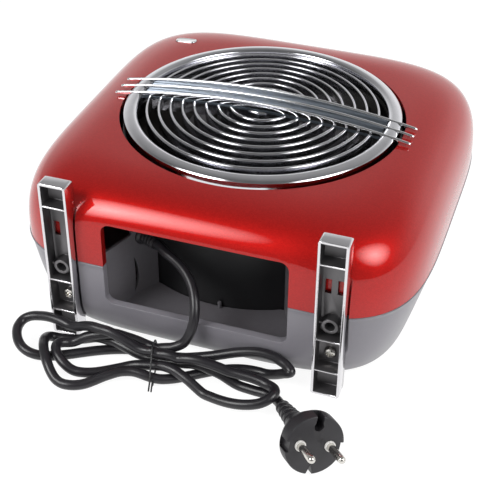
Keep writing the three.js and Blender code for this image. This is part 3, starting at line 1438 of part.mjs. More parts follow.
// The tie: a wire round the bundle at the waist, with its two ends standing out side by side
function tiePath() {
  const tieX = (y) => waistPlace[0] + tieOffset + tieLeanShare * (y - waistPlace[1]);
  const clear = cordRadius + tieRadius + tieGap;
  const crossings = [];
  for (let i = 0; i + 1 < settled.length; i += 1) {
    const [a, b] = [settled[i], settled[i + 1]];
    const passes = (a.x - tieX(a.y)) * (b.x - tieX(b.y)) <= 0;
    if (passes) crossings.push([(a.y + b.y) / 2, Math.max(a.z, b.z)]);
  }
  crossings.sort((a, b) => a[0] - b[0] || b[1] - a[1]);
  const turnsLeft = (a, b, c) => (b[0] - a[0]) * (c[1] - a[1]) - (b[1] - a[1]) * (c[0] - a[0]) >= 0;
  const upper = [];
  for (const point of crossings) {
    while (upper.length > 1 && turnsLeft(upper[upper.length - 2], upper[upper.length - 1], point)) upper.pop();
    upper.push(point);
  }
  const lowZ = cordFloorZ + tieRoom;
  const centres = upper.slice();
  const last = upper[upper.length - 1];
  if (last[1] > lowZ + seatGap) centres.push([last[0], lowZ]);
  if (upper[0][1] > lowZ + seatGap) centres.unshift([upper[0][0], lowZ]);
  const outline = [];
  const addArc = ([y, z], startTurn, endTurn) => {
    for (let i = 0; i <= tieArcSteps; i += 1) {
      const turn = startTurn + ((endTurn - startTurn) * i) / tieArcSteps;
      const point = [y + clear * Math.cos(turn), z + clear * Math.sin(turn)];
      const before = outline[outline.length - 1];
      if (!before || Math.hypot(point[0] - before[0], point[1] - before[1]) > tieRadius) outline.push(point);
    }
  };
  centres.forEach(([y, z], k) => {
    const [beforeY, beforeZ] = centres[(k + centres.length - 1) % centres.length];
    const [afterY, afterZ] = centres[(k + 1) % centres.length];
    const startTurn = k === 0 ? Math.PI : Math.atan2(y - beforeY, beforeZ - z);
    let endTurn = Math.atan2(afterY - y, z - afterZ);
    if (endTurn > startTurn) endTurn -= 2 * Math.PI;
    addArc([y, z], startTurn, endTurn);
  });
  addArc(centres[0], -Math.PI / 2, -Math.PI);
  for (let i = outline.length - 1; i > 0; i -= 1) {
    const [a, b] = [outline[i - 1], outline[i]];
    if (Math.hypot(b[0] - a[0], b[1] - a[1]) <= 2 * cordRadius) continue;
    const nearer = [(3 * a[0] + b[0]) / 4, (3 * a[1] + b[1]) / 4];
    const farther = [(a[0] + 3 * b[0]) / 4, (a[1] + 3 * b[1]) / 4];
    outline.splice(i, 0, nearer, farther);
  }
  const points = outline.map(([y, z], i) => {
    const turned = i / (outline.length - 1);
    return new THREE.Vector3(tieX(y) + tieTwist * (turned - (1 - turned)), y, z);
  });
  const tail = [tieTail, 2 * tieRadius].map((out) => [centres[0][0] - clear - out, lowZ - out / 4]);
  for (const [y, z] of tail.reverse()) {
    points.unshift(new THREE.Vector3(tieX(y) - tieTwist, y, z));
    points.push(new THREE.Vector3(tieX(y) + tieTwist, y, z));
  }
  return new THREE.CatmullRomCurve3(points);
}
addPart('cord_tie', tube(tiePath(), tieRadius, 5, 5 * tieRadius), 'black');
addPart('cord_lead', tube(leadPath, cordRadius, leadSides, leadStepShare * cordRadius), 'cordBlack');
addPart('cord_hank', tube(hankPath, cordRadius, hankSides, hankStepShare * cordRadius), 'cordBlack');
console.log('hank: least gap to itself', leastGap(hankPath, cordRadius, cordRadius / 2).toFixed(2), 'mm; length',
  hankPath.getLength().toFixed(0), 'mm; lead', leadPath.getLength().toFixed(0), 'mm');

export default heater;
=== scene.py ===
import math

import bmesh
import bpy
from mathutils import Matrix, Vector


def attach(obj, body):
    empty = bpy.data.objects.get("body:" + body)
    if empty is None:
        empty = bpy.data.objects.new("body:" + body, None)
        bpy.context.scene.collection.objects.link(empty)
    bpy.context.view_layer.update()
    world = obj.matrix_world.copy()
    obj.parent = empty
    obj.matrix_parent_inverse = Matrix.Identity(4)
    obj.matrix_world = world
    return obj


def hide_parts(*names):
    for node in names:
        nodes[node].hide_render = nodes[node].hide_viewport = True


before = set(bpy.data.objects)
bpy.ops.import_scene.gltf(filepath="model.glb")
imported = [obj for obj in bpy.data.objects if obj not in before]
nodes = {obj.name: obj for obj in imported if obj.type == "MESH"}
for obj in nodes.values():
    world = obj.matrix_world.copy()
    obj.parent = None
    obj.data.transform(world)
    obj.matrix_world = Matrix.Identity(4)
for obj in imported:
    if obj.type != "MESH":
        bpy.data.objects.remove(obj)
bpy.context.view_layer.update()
scene = bpy.context.scene

# Sizes and places are in millimetres, in the frame of the solids
MM = 0.001
# Seat gap between pieces, and how far a tool reaches past what it cuts
GAP, OVER = 0.3, 3.0
SIDES = (-1, 1)
# Turns +Z to +Y
FACING = Matrix.Rotation(-math.pi / 2, 4, "X")

# Housing, from the fan's axis
HALF_WIDTH, TOP_HALF, BOTTOM_HALF = 137.9, 133.7, 144.9
PLAN_Y, PLAN_POWER, PLAN_ANGLE = 5.3, 4.7, 0.62
UNDERSIDE_Y, UNDERSIDE_BLEND = -134.4, 1.6
PARTING, FACE = 58.5, 112.3
FRONT_INSET, FRONT_POWER = 53.9, 2.94
REAR_INSET, REAR_EDGE = 15.2, 6.0
REAR_RADIUS, REAR_BOTTOM_INSET = 13.7, 10.5
WALL = 2.6
# Thin lip of the rear shell under the parting: how far it stands out, and the depths of its top, rim and end
LIP, LIP_TOP, LIP_RIM, LIP_END = 0.45, 0.5, 0.9, 2.2


# Meshes

def add_object(name, points, faces):
    mesh = bpy.data.meshes.new(name)
    mesh.from_pydata([tuple(c * MM for c in p) for p in points], [], faces)
    piece = bpy.data.objects.new(name, mesh)
    scene.collection.objects.link(piece)
    bm = bmesh.new()
    bm.from_mesh(mesh)
    bmesh.ops.remove_doubles(bm, verts=bm.verts, dist=1e-7)
    bmesh.ops.recalc_face_normals(bm, faces=bm.faces)
    bm.to_mesh(mesh)
    bm.free()
    return piece


def at(x, y, z):
    return Matrix.Translation(Vector((x, y, z)))


def facing_along(place, direction):
    """Turns +Z to a direction, at a place."""
    return Matrix.Translation(place) @ Vector((0, 0, 1)).rotation_difference(direction).to_matrix().to_4x4()


def moved(piece, matrix):
    """Moves the mesh itself by a matrix in millimetres."""
    scaled = matrix.copy()
    scaled.translation = matrix.translation * MM
    piece.data.transform(scaled)
    return piece


def loft(name, rings, looped=False):
    count = len(rings[0])
    points = [p for ring in rings for p in ring]
    faces = []
    for j in range(len(rings) - 1):
        for i in range(count):
            a, b = j * count + i, j * count + (i + 1) % count
            faces.append((a, b, b + count, a + count))
    last = (len(rings) - 1) * count
    if looped:
        faces += [(last + i, last + (i + 1) % count, (i + 1) % count, i) for i in range(count)]
    else:
        faces.append(tuple(range(count)))
        faces.append(tuple(last + i for i in range(count)))
    return add_object(name, points, faces)


def turned(name, profile, sides=96):
    """A closed profile of (radius, height) turned about Z."""
    rings = []
    for i in range(sides):
        turn = 2 * math.pi * i / sides
        rings.append([(r * math.cos(turn), r * math.sin(turn), z) for r, z in profile])
    return loft(name, rings, looped=True)


def disc(radius, low, high, sides, name="tool"):
    return turned(name, [(0, low), (radius, low), (radius, high), (0, high)], sides)


def box(low, high, name="tool"):
    x0, y0, z0 = low
    x1, y1, z1 = high
    ring = [(x0, y0), (x1, y0), (x1, y1), (x0, y1)]
    return loft(name, [[(x, y, z) for x, y in ring] for z in (z0, z1)])


def side_box(side, near, far):
    """A box whose X values, near and far, count outwards on one side."""
    low, high = sorted((side * near[0], side * far[0]))
    return box((low, *near[1:]), (high, *far[1:]))


def prism(outline, low, high, axis="z", name="tool"):
    """An outline extruded along an axis: (x, y) for z, (x, z) for y, (y, z) for x."""
    order = {"z": (0, 1, 2), "y": (0, 2, 1), "x": (2, 0, 1)}[axis]
    return loft(name, [[tuple((*point, w)[k] for k in order) for point in outline] for w in (low, high)])


def rounded(half_x, half_y, corner, steps=8, y=0.0):
    """A rectangle with round corners, its middle at (0, y)."""
    outline = []
    for k, (sx, sy) in enumerate(((1, -1), (1, 1), (-1, 1), (-1, -1))):
        for i in range(steps + 1):
            turn = (k - 1 + i / steps) * math.pi / 2
            outline.append((sx * (half_x - corner) + corner * math.cos(turn),
                            y + sy * (half_y - corner) + corner * math.sin(turn)))
    return outline


def combined(base, tools, operation):
    for tool in tools:
        modifier = base.modifiers.new("tool", "BOOLEAN")
        modifier.operation = operation
        modifier.solver = "MANIFOLD"
        modifier.object = tool
    graph = bpy.context.evaluated_depsgraph_get()
    mesh = bpy.data.meshes.new_from_object(base.evaluated_get(graph))
    base.modifiers.clear()
    old, base.data = base.data, mesh
    mesh.name = base.name
    bpy.data.meshes.remove(old)
    for tool in tools:
        bpy.data.objects.remove(tool)
    return base


def cut(base, *tools):
    return combined(base, tools, "DIFFERENCE")


def joined(base, *tools):
    return combined(base, tools, "UNION")


def kept(base, *tools):
    return combined(base, tools, "INTERSECT")


def copy_of(piece):
    other = bpy.data.objects.new("tool", piece.data.copy())
    scene.collection.objects.link(other)
    return other


def soften(piece, width):
    """Rounds the sharp edges of a blocky piece."""
    bm = bmesh.new()
    bm.from_mesh(piece.data)
    bmesh.ops.remove_doubles(bm, verts=bm.verts, dist=2e-6)
    bmesh.ops.dissolve_limit(bm, angle_limit=math.radians(0.6), verts=bm.verts, edges=bm.edges)
    sharp = [e for e in bm.edges if len(e.link_faces) == 2 and e.calc_face_angle(0) > math.radians(40)]
    bmesh.ops.bevel(bm, geom=sharp, offset=width * MM, segments=2, affect="EDGES", profile=0.5,
                    clamp_overlap=False)
    bm.to_mesh(piece.data)
    bm.free()
    return piece


def dress(piece, material, replaces, body="housing", degrees=32, weighted=False):
    """Gives a piece its shading, material, body and the nodes that it stands for."""
    if piece.type == "MESH":
        mesh = piece.data
        mesh.polygons.foreach_set("use_smooth", [True] * len(mesh.polygons))
        mesh.set_sharp_from_angle(angle=math.radians(degrees))
        if weighted:
            modifier = piece.modifiers.new("weighted", "WEIGHTED_NORMAL")
            modifier.keep_sharp = True
    piece.data.materials.clear()
    piece.data.materials.append(material)
    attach(piece, body)
    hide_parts(*([replaces] if isinstance(replaces, str) else replaces))
    return piece


def dress_faces(piece, material, faces):
    """Gives some faces of a dressed piece a second material."""
    piece.data.materials.append(material)
    for index in faces:
        piece.data.polygons[index].material_index = 1


# Materials

def link(tree, source, target):
    tree.links.new(source, target)


def node(tree, kind, **values):
    """A new node with its inputs set; an underscore stands for a space."""
    made = tree.nodes.new("ShaderNode" + kind)
    for socket, value in values.items():
        made.inputs[socket.replace("_", " ")].default_value = value
    return made


def noise(tree, scale, detail, stretch):
    """Noise over the piece's own place, in metres."""
    texture = node(tree, "TexNoise", Scale=scale, Detail=detail)
    source = node(tree, "TexCoord").outputs["Object"]
    if stretch:
        mapping = node(tree, "Mapping", Scale=stretch)
        link(tree, source, mapping.inputs["Vector"])
        source = mapping.outputs["Vector"]
    link(tree, source, texture.inputs["Vector"])
    return texture.outputs["Fac"]


def cells(tree, scale):
    texture = node(tree, "TexVoronoi", Scale=scale)
    link(tree, node(tree, "TexCoord").outputs["Object"], texture.inputs["Vector"])
    split = node(tree, "SeparateColor")
    link(tree, texture.outputs["Color"], split.inputs["Color"])
    return split.outputs["Red"]


def spread(tree, source, low, high, start, end):
    """Maps start to end onto low to high."""
    fit = node(tree, "MapRange", From_Min=start, From_Max=end, To_Min=low, To_Max=high)
    link(tree, source, fit.inputs["Value"])
    return fit.outputs["Result"]


def between(tree, factor, first, second):
    mix = node(tree, "Mix")
    mix.data_type = "RGBA"
    mix.inputs[6].default_value = (*first, 1)
    mix.inputs[7].default_value = (*second, 1)
    link(tree, factor, mix.inputs["Factor"])
    return mix.outputs[2]


# The span that a noise texture mostly fills
NOISE_LOW, NOISE_HIGH = 0.15, 0.85


def surface(name, colors, roughness, metallic=0.0, mottle=40.0, grain=None, edge=0.0, stretch=None,
            flakes=None, **more):
    """A finish of two close colours, a span of roughness, a fine grain (scale, depth) and soft edges."""
    material = bpy.data.materials.new(name)
    material.use_nodes = True
    tree = material.node_tree
    skin = tree.nodes["Principled BSDF"]
    skin.inputs["Metallic"].default_value = metallic
    for socket, value in more.items():
        skin.inputs[socket.replace("_", " ")].default_value = value
    patches = noise(tree, mottle, 3.0, stretch)
    factor = cells(tree, flakes) if flakes else spread(tree, patches, 0, 1, NOISE_LOW, NOISE_HIGH)
    link(tree, between(tree, factor, *colors), skin.inputs["Base Color"])
    link(tree, spread(tree, patches, *roughness, NOISE_LOW, NOISE_HIGH), skin.inputs["Roughness"])
    normal = None
    if edge:
        bevel = node(tree, "Bevel", Radius=edge * MM)
        bevel.samples = 4
        normal = bevel.outputs["Normal"]
    if grain:
        bump = node(tree, "Bump", Strength=1, Distance=grain[1] * MM)
        link(tree, noise(tree, grain[0], 4.0, stretch), bump.inputs["Height"])
        if normal:
            link(tree, normal, bump.inputs["Normal"])
        normal = bump.outputs["Normal"]
    if normal:
        link(tree, normal, skin.inputs["Normal"])
    return material


PLATED = {"metallic": 1.0, "mottle": 120, "grain": (90, 0.004)}
RED = surface("red_metallic", ((0.38, 0.006, 0.005), (0.46, 0.009, 0.007)), (0.44, 0.52), 0.7, mottle=9,
              grain=(55, 0.02), edge=0.35, flakes=1500, Specular_IOR_Level=0.0, Coat_Weight=1.0,
              Coat_Roughness=0.03, Coat_IOR=1.45)
GREY = surface("grey_plastic", ((0.168, 0.161, 0.18), (0.176, 0.169, 0.188)), (0.29, 0.34), mottle=350,
               grain=(700, 0.015), edge=1.0)
BAY = surface("bay_plastic", ((0.095, 0.09, 0.10), (0.115, 0.11, 0.12)), (0.42, 0.52), mottle=250,
              grain=(500, 0.02), edge=0.5)
CHROME = surface("bright_chrome", ((0.86, 0.87, 0.89), (0.9, 0.905, 0.915)), (0.03, 0.075), edge=0.45,
                 **PLATED)
FIN = surface("fin_chrome", ((0.68, 0.68, 0.71), (0.74, 0.74, 0.77)), (0.10, 0.16), **PLATED)
CHANNEL = surface("channel_plating", ((0.70, 0.69, 0.71), (0.76, 0.75, 0.77)), (0.09, 0.15), edge=0.6,
                  **PLATED)
# Dark satin for the faces inside the feet's hollows: a painted shade of the recess
HOLLOW_PAINTED_SHADE = surface("channel_inside_painted_shade", ((0.15, 0.145, 0.15), (0.19, 0.185, 0.19)), (0.3, 0.42), 0.9,
                 grain=(90, 0.01), edge=0.4)
WEB = surface("web_metal", ((0.17, 0.20, 0.235), (0.20, 0.23, 0.265)), (0.34, 0.42), 1.0, mottle=60,
              grain=(200, 0.002), stretch=(1, 12, 12))
BLACK = surface("black_plastic", ((0.012, 0.012, 0.013), (0.02, 0.02, 0.021)), (0.36, 0.48), mottle=60,
                grain=(600, 0.02), edge=0.4)
DUCT_PLASTIC = surface("duct_plastic", ((0.006, 0.006, 0.007), (0.010, 0.010, 0.011)), (0.28, 0.4), mottle=30,
                       grain=(300, 0.01))
RUBBER = surface("cord_rubber", ((0.009, 0.008, 0.010), (0.014, 0.013, 0.016)), (0.28, 0.38), mottle=150,
                 grain=(900, 0.02))
PLUG = surface("plug_rubber", ((0.012, 0.011, 0.013), (0.019, 0.018, 0.021)), (0.36, 0.48), mottle=150,
               grain=(1100, 0.03), edge=0.5)
NICKEL = surface("nickel", ((0.62, 0.60, 0.56), (0.72, 0.70, 0.66)), (0.14, 0.24), 1.0, mottle=200,
                 grain=(500, 0.006), edge=0.3)
COLLAR = surface("collar_plastic", ((0.55, 0.54, 0.52), (0.62, 0.61, 0.59)), (0.4, 0.5), mottle=200)
STEEL = surface("bare_steel", ((0.50, 0.50, 0.50), (0.60, 0.60, 0.61)), (0.29, 0.38), 1.0, mottle=90,
                grain=(400, 0.01), edge=0.3)
COPPER = surface("wire_copper", ((0.45, 0.16, 0.06), (0.60, 0.24, 0.10)), (0.3, 0.4), 1.0, mottle=200,
                 grain=(500, 0.05), stretch=(1, 1, 8))
# The mica board is made near black: a painted shade of the dark inside of the housing
MICA_PAINTED_SHADE = surface("mica_board_painted_shade", ((0.035, 0.032, 0.028), (0.05, 0.046, 0.04)), (0.6, 0.75), mottle=120,
               grain=(400, 0.03))
ALLOY = surface("element_alloy", ((0.16, 0.155, 0.15), (0.22, 0.215, 0.21)), (0.35, 0.45), 1.0, mottle=100,
                grain=(600, 0.01))
WHITE = surface("white_plastic", ((0.66, 0.65, 0.61), (0.72, 0.71, 0.67)), (0.4, 0.5), mottle=60,
                grain=(500, 0.01), edge=0.4)
LENS = surface("lamp_lens", ((0.55, 0.07, 0.015), (0.62, 0.10, 0.02)), (0.08, 0.14), mottle=90,
               Transmission_Weight=0.35, IOR=1.49)


# Housing

FOOT_SCREW_Z = 28.5
SOLE_Y, FOOT_X, FOOT_WIDTH, FOOT_LENGTH, FOOT_HEIGHT = -141.1, 89.6, 18.6, 117.8, 12.0
FOOT_INNER = SOLE_Y + FOOT_HEIGHT
POCKET_Y, POCKET_HALF, POCKET_WALL = FOOT_INNER + GAP, FOOT_WIDTH / 2 + 0.8, 2.4
BAY_HALF, BAY_LOW, BAY_HIGH, BAY_CORNER, BAY_RIM, BAY_RIM_WALL = 61.7, 29.4, 91.1, 6.0, 5.2, 2.2
BAY_MIDDLE = (BAY_LOW + BAY_HIGH) / 2
BAY_HALF_HEIGHT = (BAY_HIGH - BAY_LOW) / 2
SCREW_PLACES = [(side * 104.0, y) for side in SIDES for y in (96.0, -100.0)]
SHANK, HEAD, HEAD_HEIGHT, SCREW_PLAY = 1.7, 4.0, 2.2, 0.35
SHANK_HOLE, HEAD_HOLE = SHANK + SCREW_PLAY, HEAD + SCREW_PLAY
HEAD_SEAT, BOSS_LENGTH = 12, 10
POST, REAR_POST_TOP, FRONT_POST_LOW, FRONT_HOLE_LOW, FRONT_HOLE_TOP = 5.2, 57.7, 58.3, 58, 84
INTAKE = 74.0
OPENING = 98.0
# Segments of the outer faces and of the hidden inner ones
OUTER_SIDES, INNER_SIDES = 360, 120


def plan_ring(inset, bottom_inset, clip, z, count):
    """The housing's outline at one height, trimmed along the underside."""
    ring = []
    for i in range(count):
        turn = 2 * math.pi * (i + 0.5) / count
        c = math.copysign(abs(math.cos(turn)) ** PLAN_ANGLE, math.cos(turn))
        s = math.copysign(abs(math.sin(turn)) ** PLAN_ANGLE, math.sin(turn))
        half_x = HALF_WIDTH - inset
        half_y = TOP_HALF - inset if s > 0 else BOTTOM_HALF - bottom_inset
        reach = (abs(c / half_x) ** PLAN_POWER + abs(s / half_y) ** PLAN_POWER) ** (-1 / PLAN_POWER)
        x, y = reach * c, reach * s + PLAN_Y
        above = y - clip
        blended = clip + (above + math.sqrt(above * above + UNDERSIDE_BLEND ** 2)) / 2
        ring.append((x, y if s > 0 else blended, z))
    return ring


def front_solid(wall, count, steps, name="tool"):
    """The front half, or with a wall the hollow inside it."""
    start = PARTING - OVER if wall else PARTING + GAP / 2
    rings = [plan_ring(wall, wall, UNDERSIDE_Y + wall, start, count)]
    for j in range(1, steps + 1):
        turn = j * math.pi / 2 / steps
        inset = wall + FRONT_INSET * (1 - max(0.0, math.cos(turn)) ** (2 / FRONT_POWER))
        rise = (FACE - PARTING - wall) * math.sin(turn) ** (2 / FRONT_POWER)
        rings.append(plan_ring(inset, inset, UNDERSIDE_Y + wall, PARTING + rise, count))
    return loft(name, rings)


def rear_heights(steps, lip):
    quarter = [1 - math.sin(j * math.pi / 2 / steps) for j in range(1, steps + 1)]
    heights = [PARTING - GAP / 2] + [PARTING - depth for depth in lip]
    heights += [PARTING + (REAR_RADIUS - PARTING) * k / steps for k in range(1, steps + 1)]
    heights += [REAR_RADIUS * share for share in quarter] + [REAR_EDGE * share for share in quarter]
    return sorted(set(round(h, 6) for h in heights), reverse=True)


def rear_solid(wall, count, steps, name="tool"):
    """The rear half with its lip, or with a wall the hollow inside it."""
    rings = []
    for height in rear_heights(steps, () if wall else (LIP_TOP, LIP_RIM, LIP_END)):
        below = PARTING - height
        drop = below / PARTING
        edge = max(0.0, REAR_EDGE - height)
        edge_inset = REAR_EDGE - math.sqrt(REAR_EDGE ** 2 - edge ** 2)
        low = max(0.0, REAR_RADIUS - height) / REAR_RADIUS
        clip = UNDERSIDE_Y + REAR_BOTTOM_INSET * (1 - math.sqrt(max(0.0, 1 - low ** 2)))
        lip = LIP * max(0.0, min(1.0, (LIP_END - below) / (LIP_END - LIP_RIM))) - max(0.0, LIP_TOP - below)
        grown = wall or -lip
        inset = edge_inset + grown
        z = max(height, wall)
        if rings and rings[-1][0][2] == z:
            rings.pop()
        plan_insets = (inset + REAR_INSET * drop, inset + REAR_INSET * drop ** 4)
        rings.append(plan_ring(*plan_insets, clip + grown, z, count))
    if wall:
        rings.insert(0, [(x, y, PARTING + OVER) for x, y, _ in rings[0]])
    return loft(name, rings)


def foot_block(side, half, low_y, high_y, top):
    return box((side * FOOT_X - half, low_y, -OVER), (side * FOOT_X + half, high_y, top))


def bay_window(grow, low, high):
    outline = rounded(BAY_HALF + grow, BAY_HALF_HEIGHT + grow, BAY_CORNER + grow, y=BAY_MIDDLE)
    return prism(outline, low, high, "y")


def reinforced(outer, inner):
    """A shell with its hollow, the rim round the window and the walls round the feet's pockets."""
    blocks = [bay_window(BAY_RIM_WALL, UNDERSIDE_Y - OVER, UNDERSIDE_Y + BAY_RIM)]
    half, high_y = POCKET_HALF + POCKET_WALL, POCKET_Y + POCKET_WALL
    blocks += [foot_block(side, half, SOLE_Y, high_y, FACE) for side in SIDES]
    filled = kept(joined(*blocks), copy_of(outer))
    return joined(cut(outer, inner), filled)


def opened(shell):
    pockets = [foot_block(side, POCKET_HALF, SOLE_Y - OVER, POCKET_Y, FACE + OVER) for side in SIDES]
    return cut(shell, *pockets, bay_window(0, UNDERSIDE_Y - OVER, UNDERSIDE_Y + BAY_RIM + OVER))


def foot_screw_disc(side, radius, low, high, sides):
    """A disc along Y at a foot's screw, from the pocket inwards."""
    return moved(disc(radius, low, high, sides), at(side * FOOT_X, POCKET_Y, FOOT_SCREW_Z) @ FACING)


front_shell = reinforced(front_solid(0, OUTER_SIDES, 40, "shell_front"), front_solid(WALL, INNER_SIDES, 16))
rear_shell = reinforced(rear_solid(0, OUTER_SIDES, 12, "shell_rear"), rear_solid(WALL, INNER_SIDES, 6))
joined(rear_shell, *[foot_screw_disc(side, 4.6, 0, BOSS_LENGTH, 32) for side in SIDES])
opened(front_shell)
opened(rear_shell)
holes = [foot_screw_disc(side, SHANK_HOLE, -OVER, BOSS_LENGTH + OVER, 24) for side in SIDES]
for x, y in SCREW_PLACES:
    joined(rear_shell, moved(disc(POST, WALL / 2, REAR_POST_TOP, 32), at(x, y, 0)))
    holes.append(moved(disc(HEAD_HOLE, -OVER, HEAD_SEAT, 40), at(x, y, 0)))
    holes.append(moved(disc(SHANK_HOLE, 0, PARTING + OVER, 24), at(x, y, 0)))
    post = moved(disc(POST, FRONT_POST_LOW, FACE, 32), at(x, y, 0))
    joined(front_shell, kept(post, front_solid(0.2, INNER_SIDES, 16)))
    cut(front_shell, moved(disc(SHANK_HOLE, FRONT_HOLE_LOW, FRONT_HOLE_TOP, 24), at(x, y, 0)))
cut(rear_shell, *holes, disc(INTAKE + GAP, -OVER, WALL + OVER, 160))
cut(front_shell, disc(OPENING, PARTING + OVER, FACE + OVER, 200))

# Well of the control panel in the rear shell

KNOB_X, KNOB_Z, PANEL_Y, KNOB_TOP = 33.0, 31.0, 128.1, 141.1
PANEL_HALF_X, PANEL_HALF_Z, PANEL_CORNER, PANEL_THICK = 58, 17, 8, 2.4
PANEL_STEP = 3
LEDGE_Y = PANEL_Y - PANEL_THICK - GAP
LEDGE_THICK = 2


def panel_block(grow, corner, low, high, steps=8, z=KNOB_Z, name="tool"):
    outline = rounded(PANEL_HALF_X + grow, PANEL_HALF_Z + grow, PANEL_CORNER + corner, steps, z)
    return prism(outline, low, high, "y", name)


well = kept(panel_block(PANEL_THICK, PANEL_THICK, LEDGE_Y - LEDGE_THICK, KNOB_TOP), rear_solid(0.05, 200, 12))
joined(rear_shell, well)
cut(rear_shell, panel_block(GAP, 0, LEDGE_Y, KNOB_TOP))
cut(rear_shell, panel_block(GAP - PANEL_STEP, -PANEL_STEP, LEDGE_Y - LEDGE_THICK - OVER, KNOB_TOP))

# Bare badge plate, let into the face

BADGE_X, BADGE_Y, BADGE_HALF_X, BADGE_HALF_Y, BADGE_CORNER = -90.0, 85.4, 8, 3.5, 3.18
BADGE_PLAY, BADGE_DEPTH = 0.3, 1.1


def face_height(x, y):
    """The front shell's height at a place, found by halving."""
    half_y = TOP_HALF if y > PLAN_Y else BOTTOM_HALF
    low, high = 0.0, FRONT_INSET
    for _ in range(40):
        inset = (low + high) / 2
        across = abs(x / (HALF_WIDTH - inset)) ** PLAN_POWER
        size = across + abs((y - PLAN_Y) / (half_y - inset)) ** PLAN_POWER
        low, high = (low, inset) if size > 1 else (inset, high)
    inward = min(1.0, low / FRONT_INSET)
    return PARTING + (FACE - PARTING) * (1 - (1 - inward) ** FRONT_POWER) ** (1 / FRONT_POWER)


tilt = Vector((face_height(BADGE_X - 2, BADGE_Y) - face_height(BADGE_X + 2, BADGE_Y),
               face_height(BADGE_X, BADGE_Y - 2) - face_height(BADGE_X, BADGE_Y + 2), 4)).normalized()
badge_frame = facing_along(Vector((BADGE_X, BADGE_Y, face_height(BADGE_X, BADGE_Y))), tilt)
seat = rounded(BADGE_HALF_X + BADGE_PLAY, BADGE_HALF_Y + BADGE_PLAY, BADGE_CORNER)
cut(front_shell, moved(prism(seat, -BADGE_DEPTH, 4), badge_frame))
rings = []
for inset, z in ((0, -0.8), (0, 0.35), (0.15, 0.65), (0.45, 0.8), (0.9, 0.8), (1.05, 0.62), (1.3, 0.6)):
    outline = rounded(BADGE_HALF_X - inset, BADGE_HALF_Y - inset, BADGE_CORNER - inset, 12)
    rings.append([(x, y, z) for x, y in outline])
dress(moved(loft("badge", rings), badge_frame), CHROME, "badge_plate", degrees=40)
dress(front_shell, RED, "front_shell", degrees=28, weighted=True)
dress(rear_shell, GREY, "rear_shell", degrees=28, weighted=True)

# Front grille

RING, RING_INNER, RING_EDGE, CREST, RING_WALL, SKIRT = 95.0, 85.7, 114.4, 2.4, 2, 10.6
FIN_TOP, FIN_FOOT, FIN_DEPTH, FIN_LEAN = 1.9, 1.3, 12.0, 0.22
FIN_FIRST, FIN_PITCH, FIN_COUNT = 22.4, 8.12, 8
DOME_Z, DOME_RISE = 116, 3.1
RIB_DEPTH, RIB_HALF = 9, 1
HALF_BAR, BAR_HALF_WIDTH, BAR_PITCH = 105.5, 1.0, 10.2
BAR_RISE, BAR_DEPTH, BAR_MORE_DEPTH, BAR_NOSE = 10.4, 1.8, 3.2, 1.4
WEB_HALF_X, WEB_HALF_Y, WEB_THICK = 84.6, 11.6, 1.4


def fin_top(radius):
    return DOME_Z + DOME_RISE * (1 - (radius / RING_INNER) ** 2)


def ring_profile():
    crest = RING_INNER + 0.35 * (RING - RING_INNER)
    profile = []
    for k in range(11):
        t = k / 10
        profile.append((RING - t * (RING - crest), RING_EDGE + CREST * math.sin(t * math.pi / 2) ** 0.62))
    for k in range(1, 9):
        t = k / 8
        rise = CREST * (0.2 + 0.8 * math.cos(t * math.pi / 2) ** 0.7)
        profile.append((crest - t * (crest - RING_INNER), RING_EDGE + rise))
    low = RING_EDGE - FIN_DEPTH / 2
    profile += [(RING_INNER, low), (RING_INNER + RING_WALL, low), (RING_INNER + RING_WALL, RING_EDGE - CREST),
                (RING - RING_WALL, RING_EDGE - CREST), (RING - RING_WALL, RING_EDGE - SKIRT),
                (RING, RING_EDGE - SKIRT)]
    return profile


def fin_profile(radius):
    """A fin's section: round on top, and leaning a little."""
    top = fin_top(radius)
    half = FIN_TOP / 2
    profile = [(radius - FIN_FOOT / 2, top - FIN_DEPTH), (radius + FIN_FOOT / 2, top - FIN_DEPTH)]
    for k in range(8):
        turn = math.pi * k / 7
        crown = half * math.sin(turn) * 0.95 - FIN_LEAN * math.cos(turn)
        profile.append((radius + half * math.cos(turn), top - half + crown))
    return profile


def eye_profile():
    """The bullseye: a plate with a raised rim and a raised ring, as (radius, depth under its top)."""
    rim = [(13.6, 3), (13.6, 1.1), (13.3, 0.5), (12.7, 0.05), (12.2, 0.3), (11.7, 0.95)]
    ring = [(8.4, 0.95), (7.9, 0.5), (7.3, 0), (6.6, 0), (6.2, 0.5), (5.9, 0.95)]
    return [(radius, fin_top(0) - depth) for radius, depth in [(0, 3), *rim, *ring, (3.2, 0.75), (0, 0.5)]]


def arch(x):
    return 1 - (x / HALF_BAR) ** 2


def bar_top(x):
    return RING_EDGE + BAR_RISE * arch(x)


def bar_foot(x):
    return bar_top(x) - BAR_DEPTH - BAR_MORE_DEPTH * arch(x)


def web_top(x):
    return bar_foot(x) - GAP


def web_foot(x):
    return web_top(x) - WEB_THICK


def strip(half, lower, upper, low_y, high_y, name="tool"):
    """A plate along X between two curves."""
    rings = [[(x, low_y, lower(x)), (x, high_y, lower(x)), (x, high_y, upper(x)), (x, low_y, upper(x))]
             for x in (-half + half * i / 30 for i in range(61))]
    return loft(name, rings)


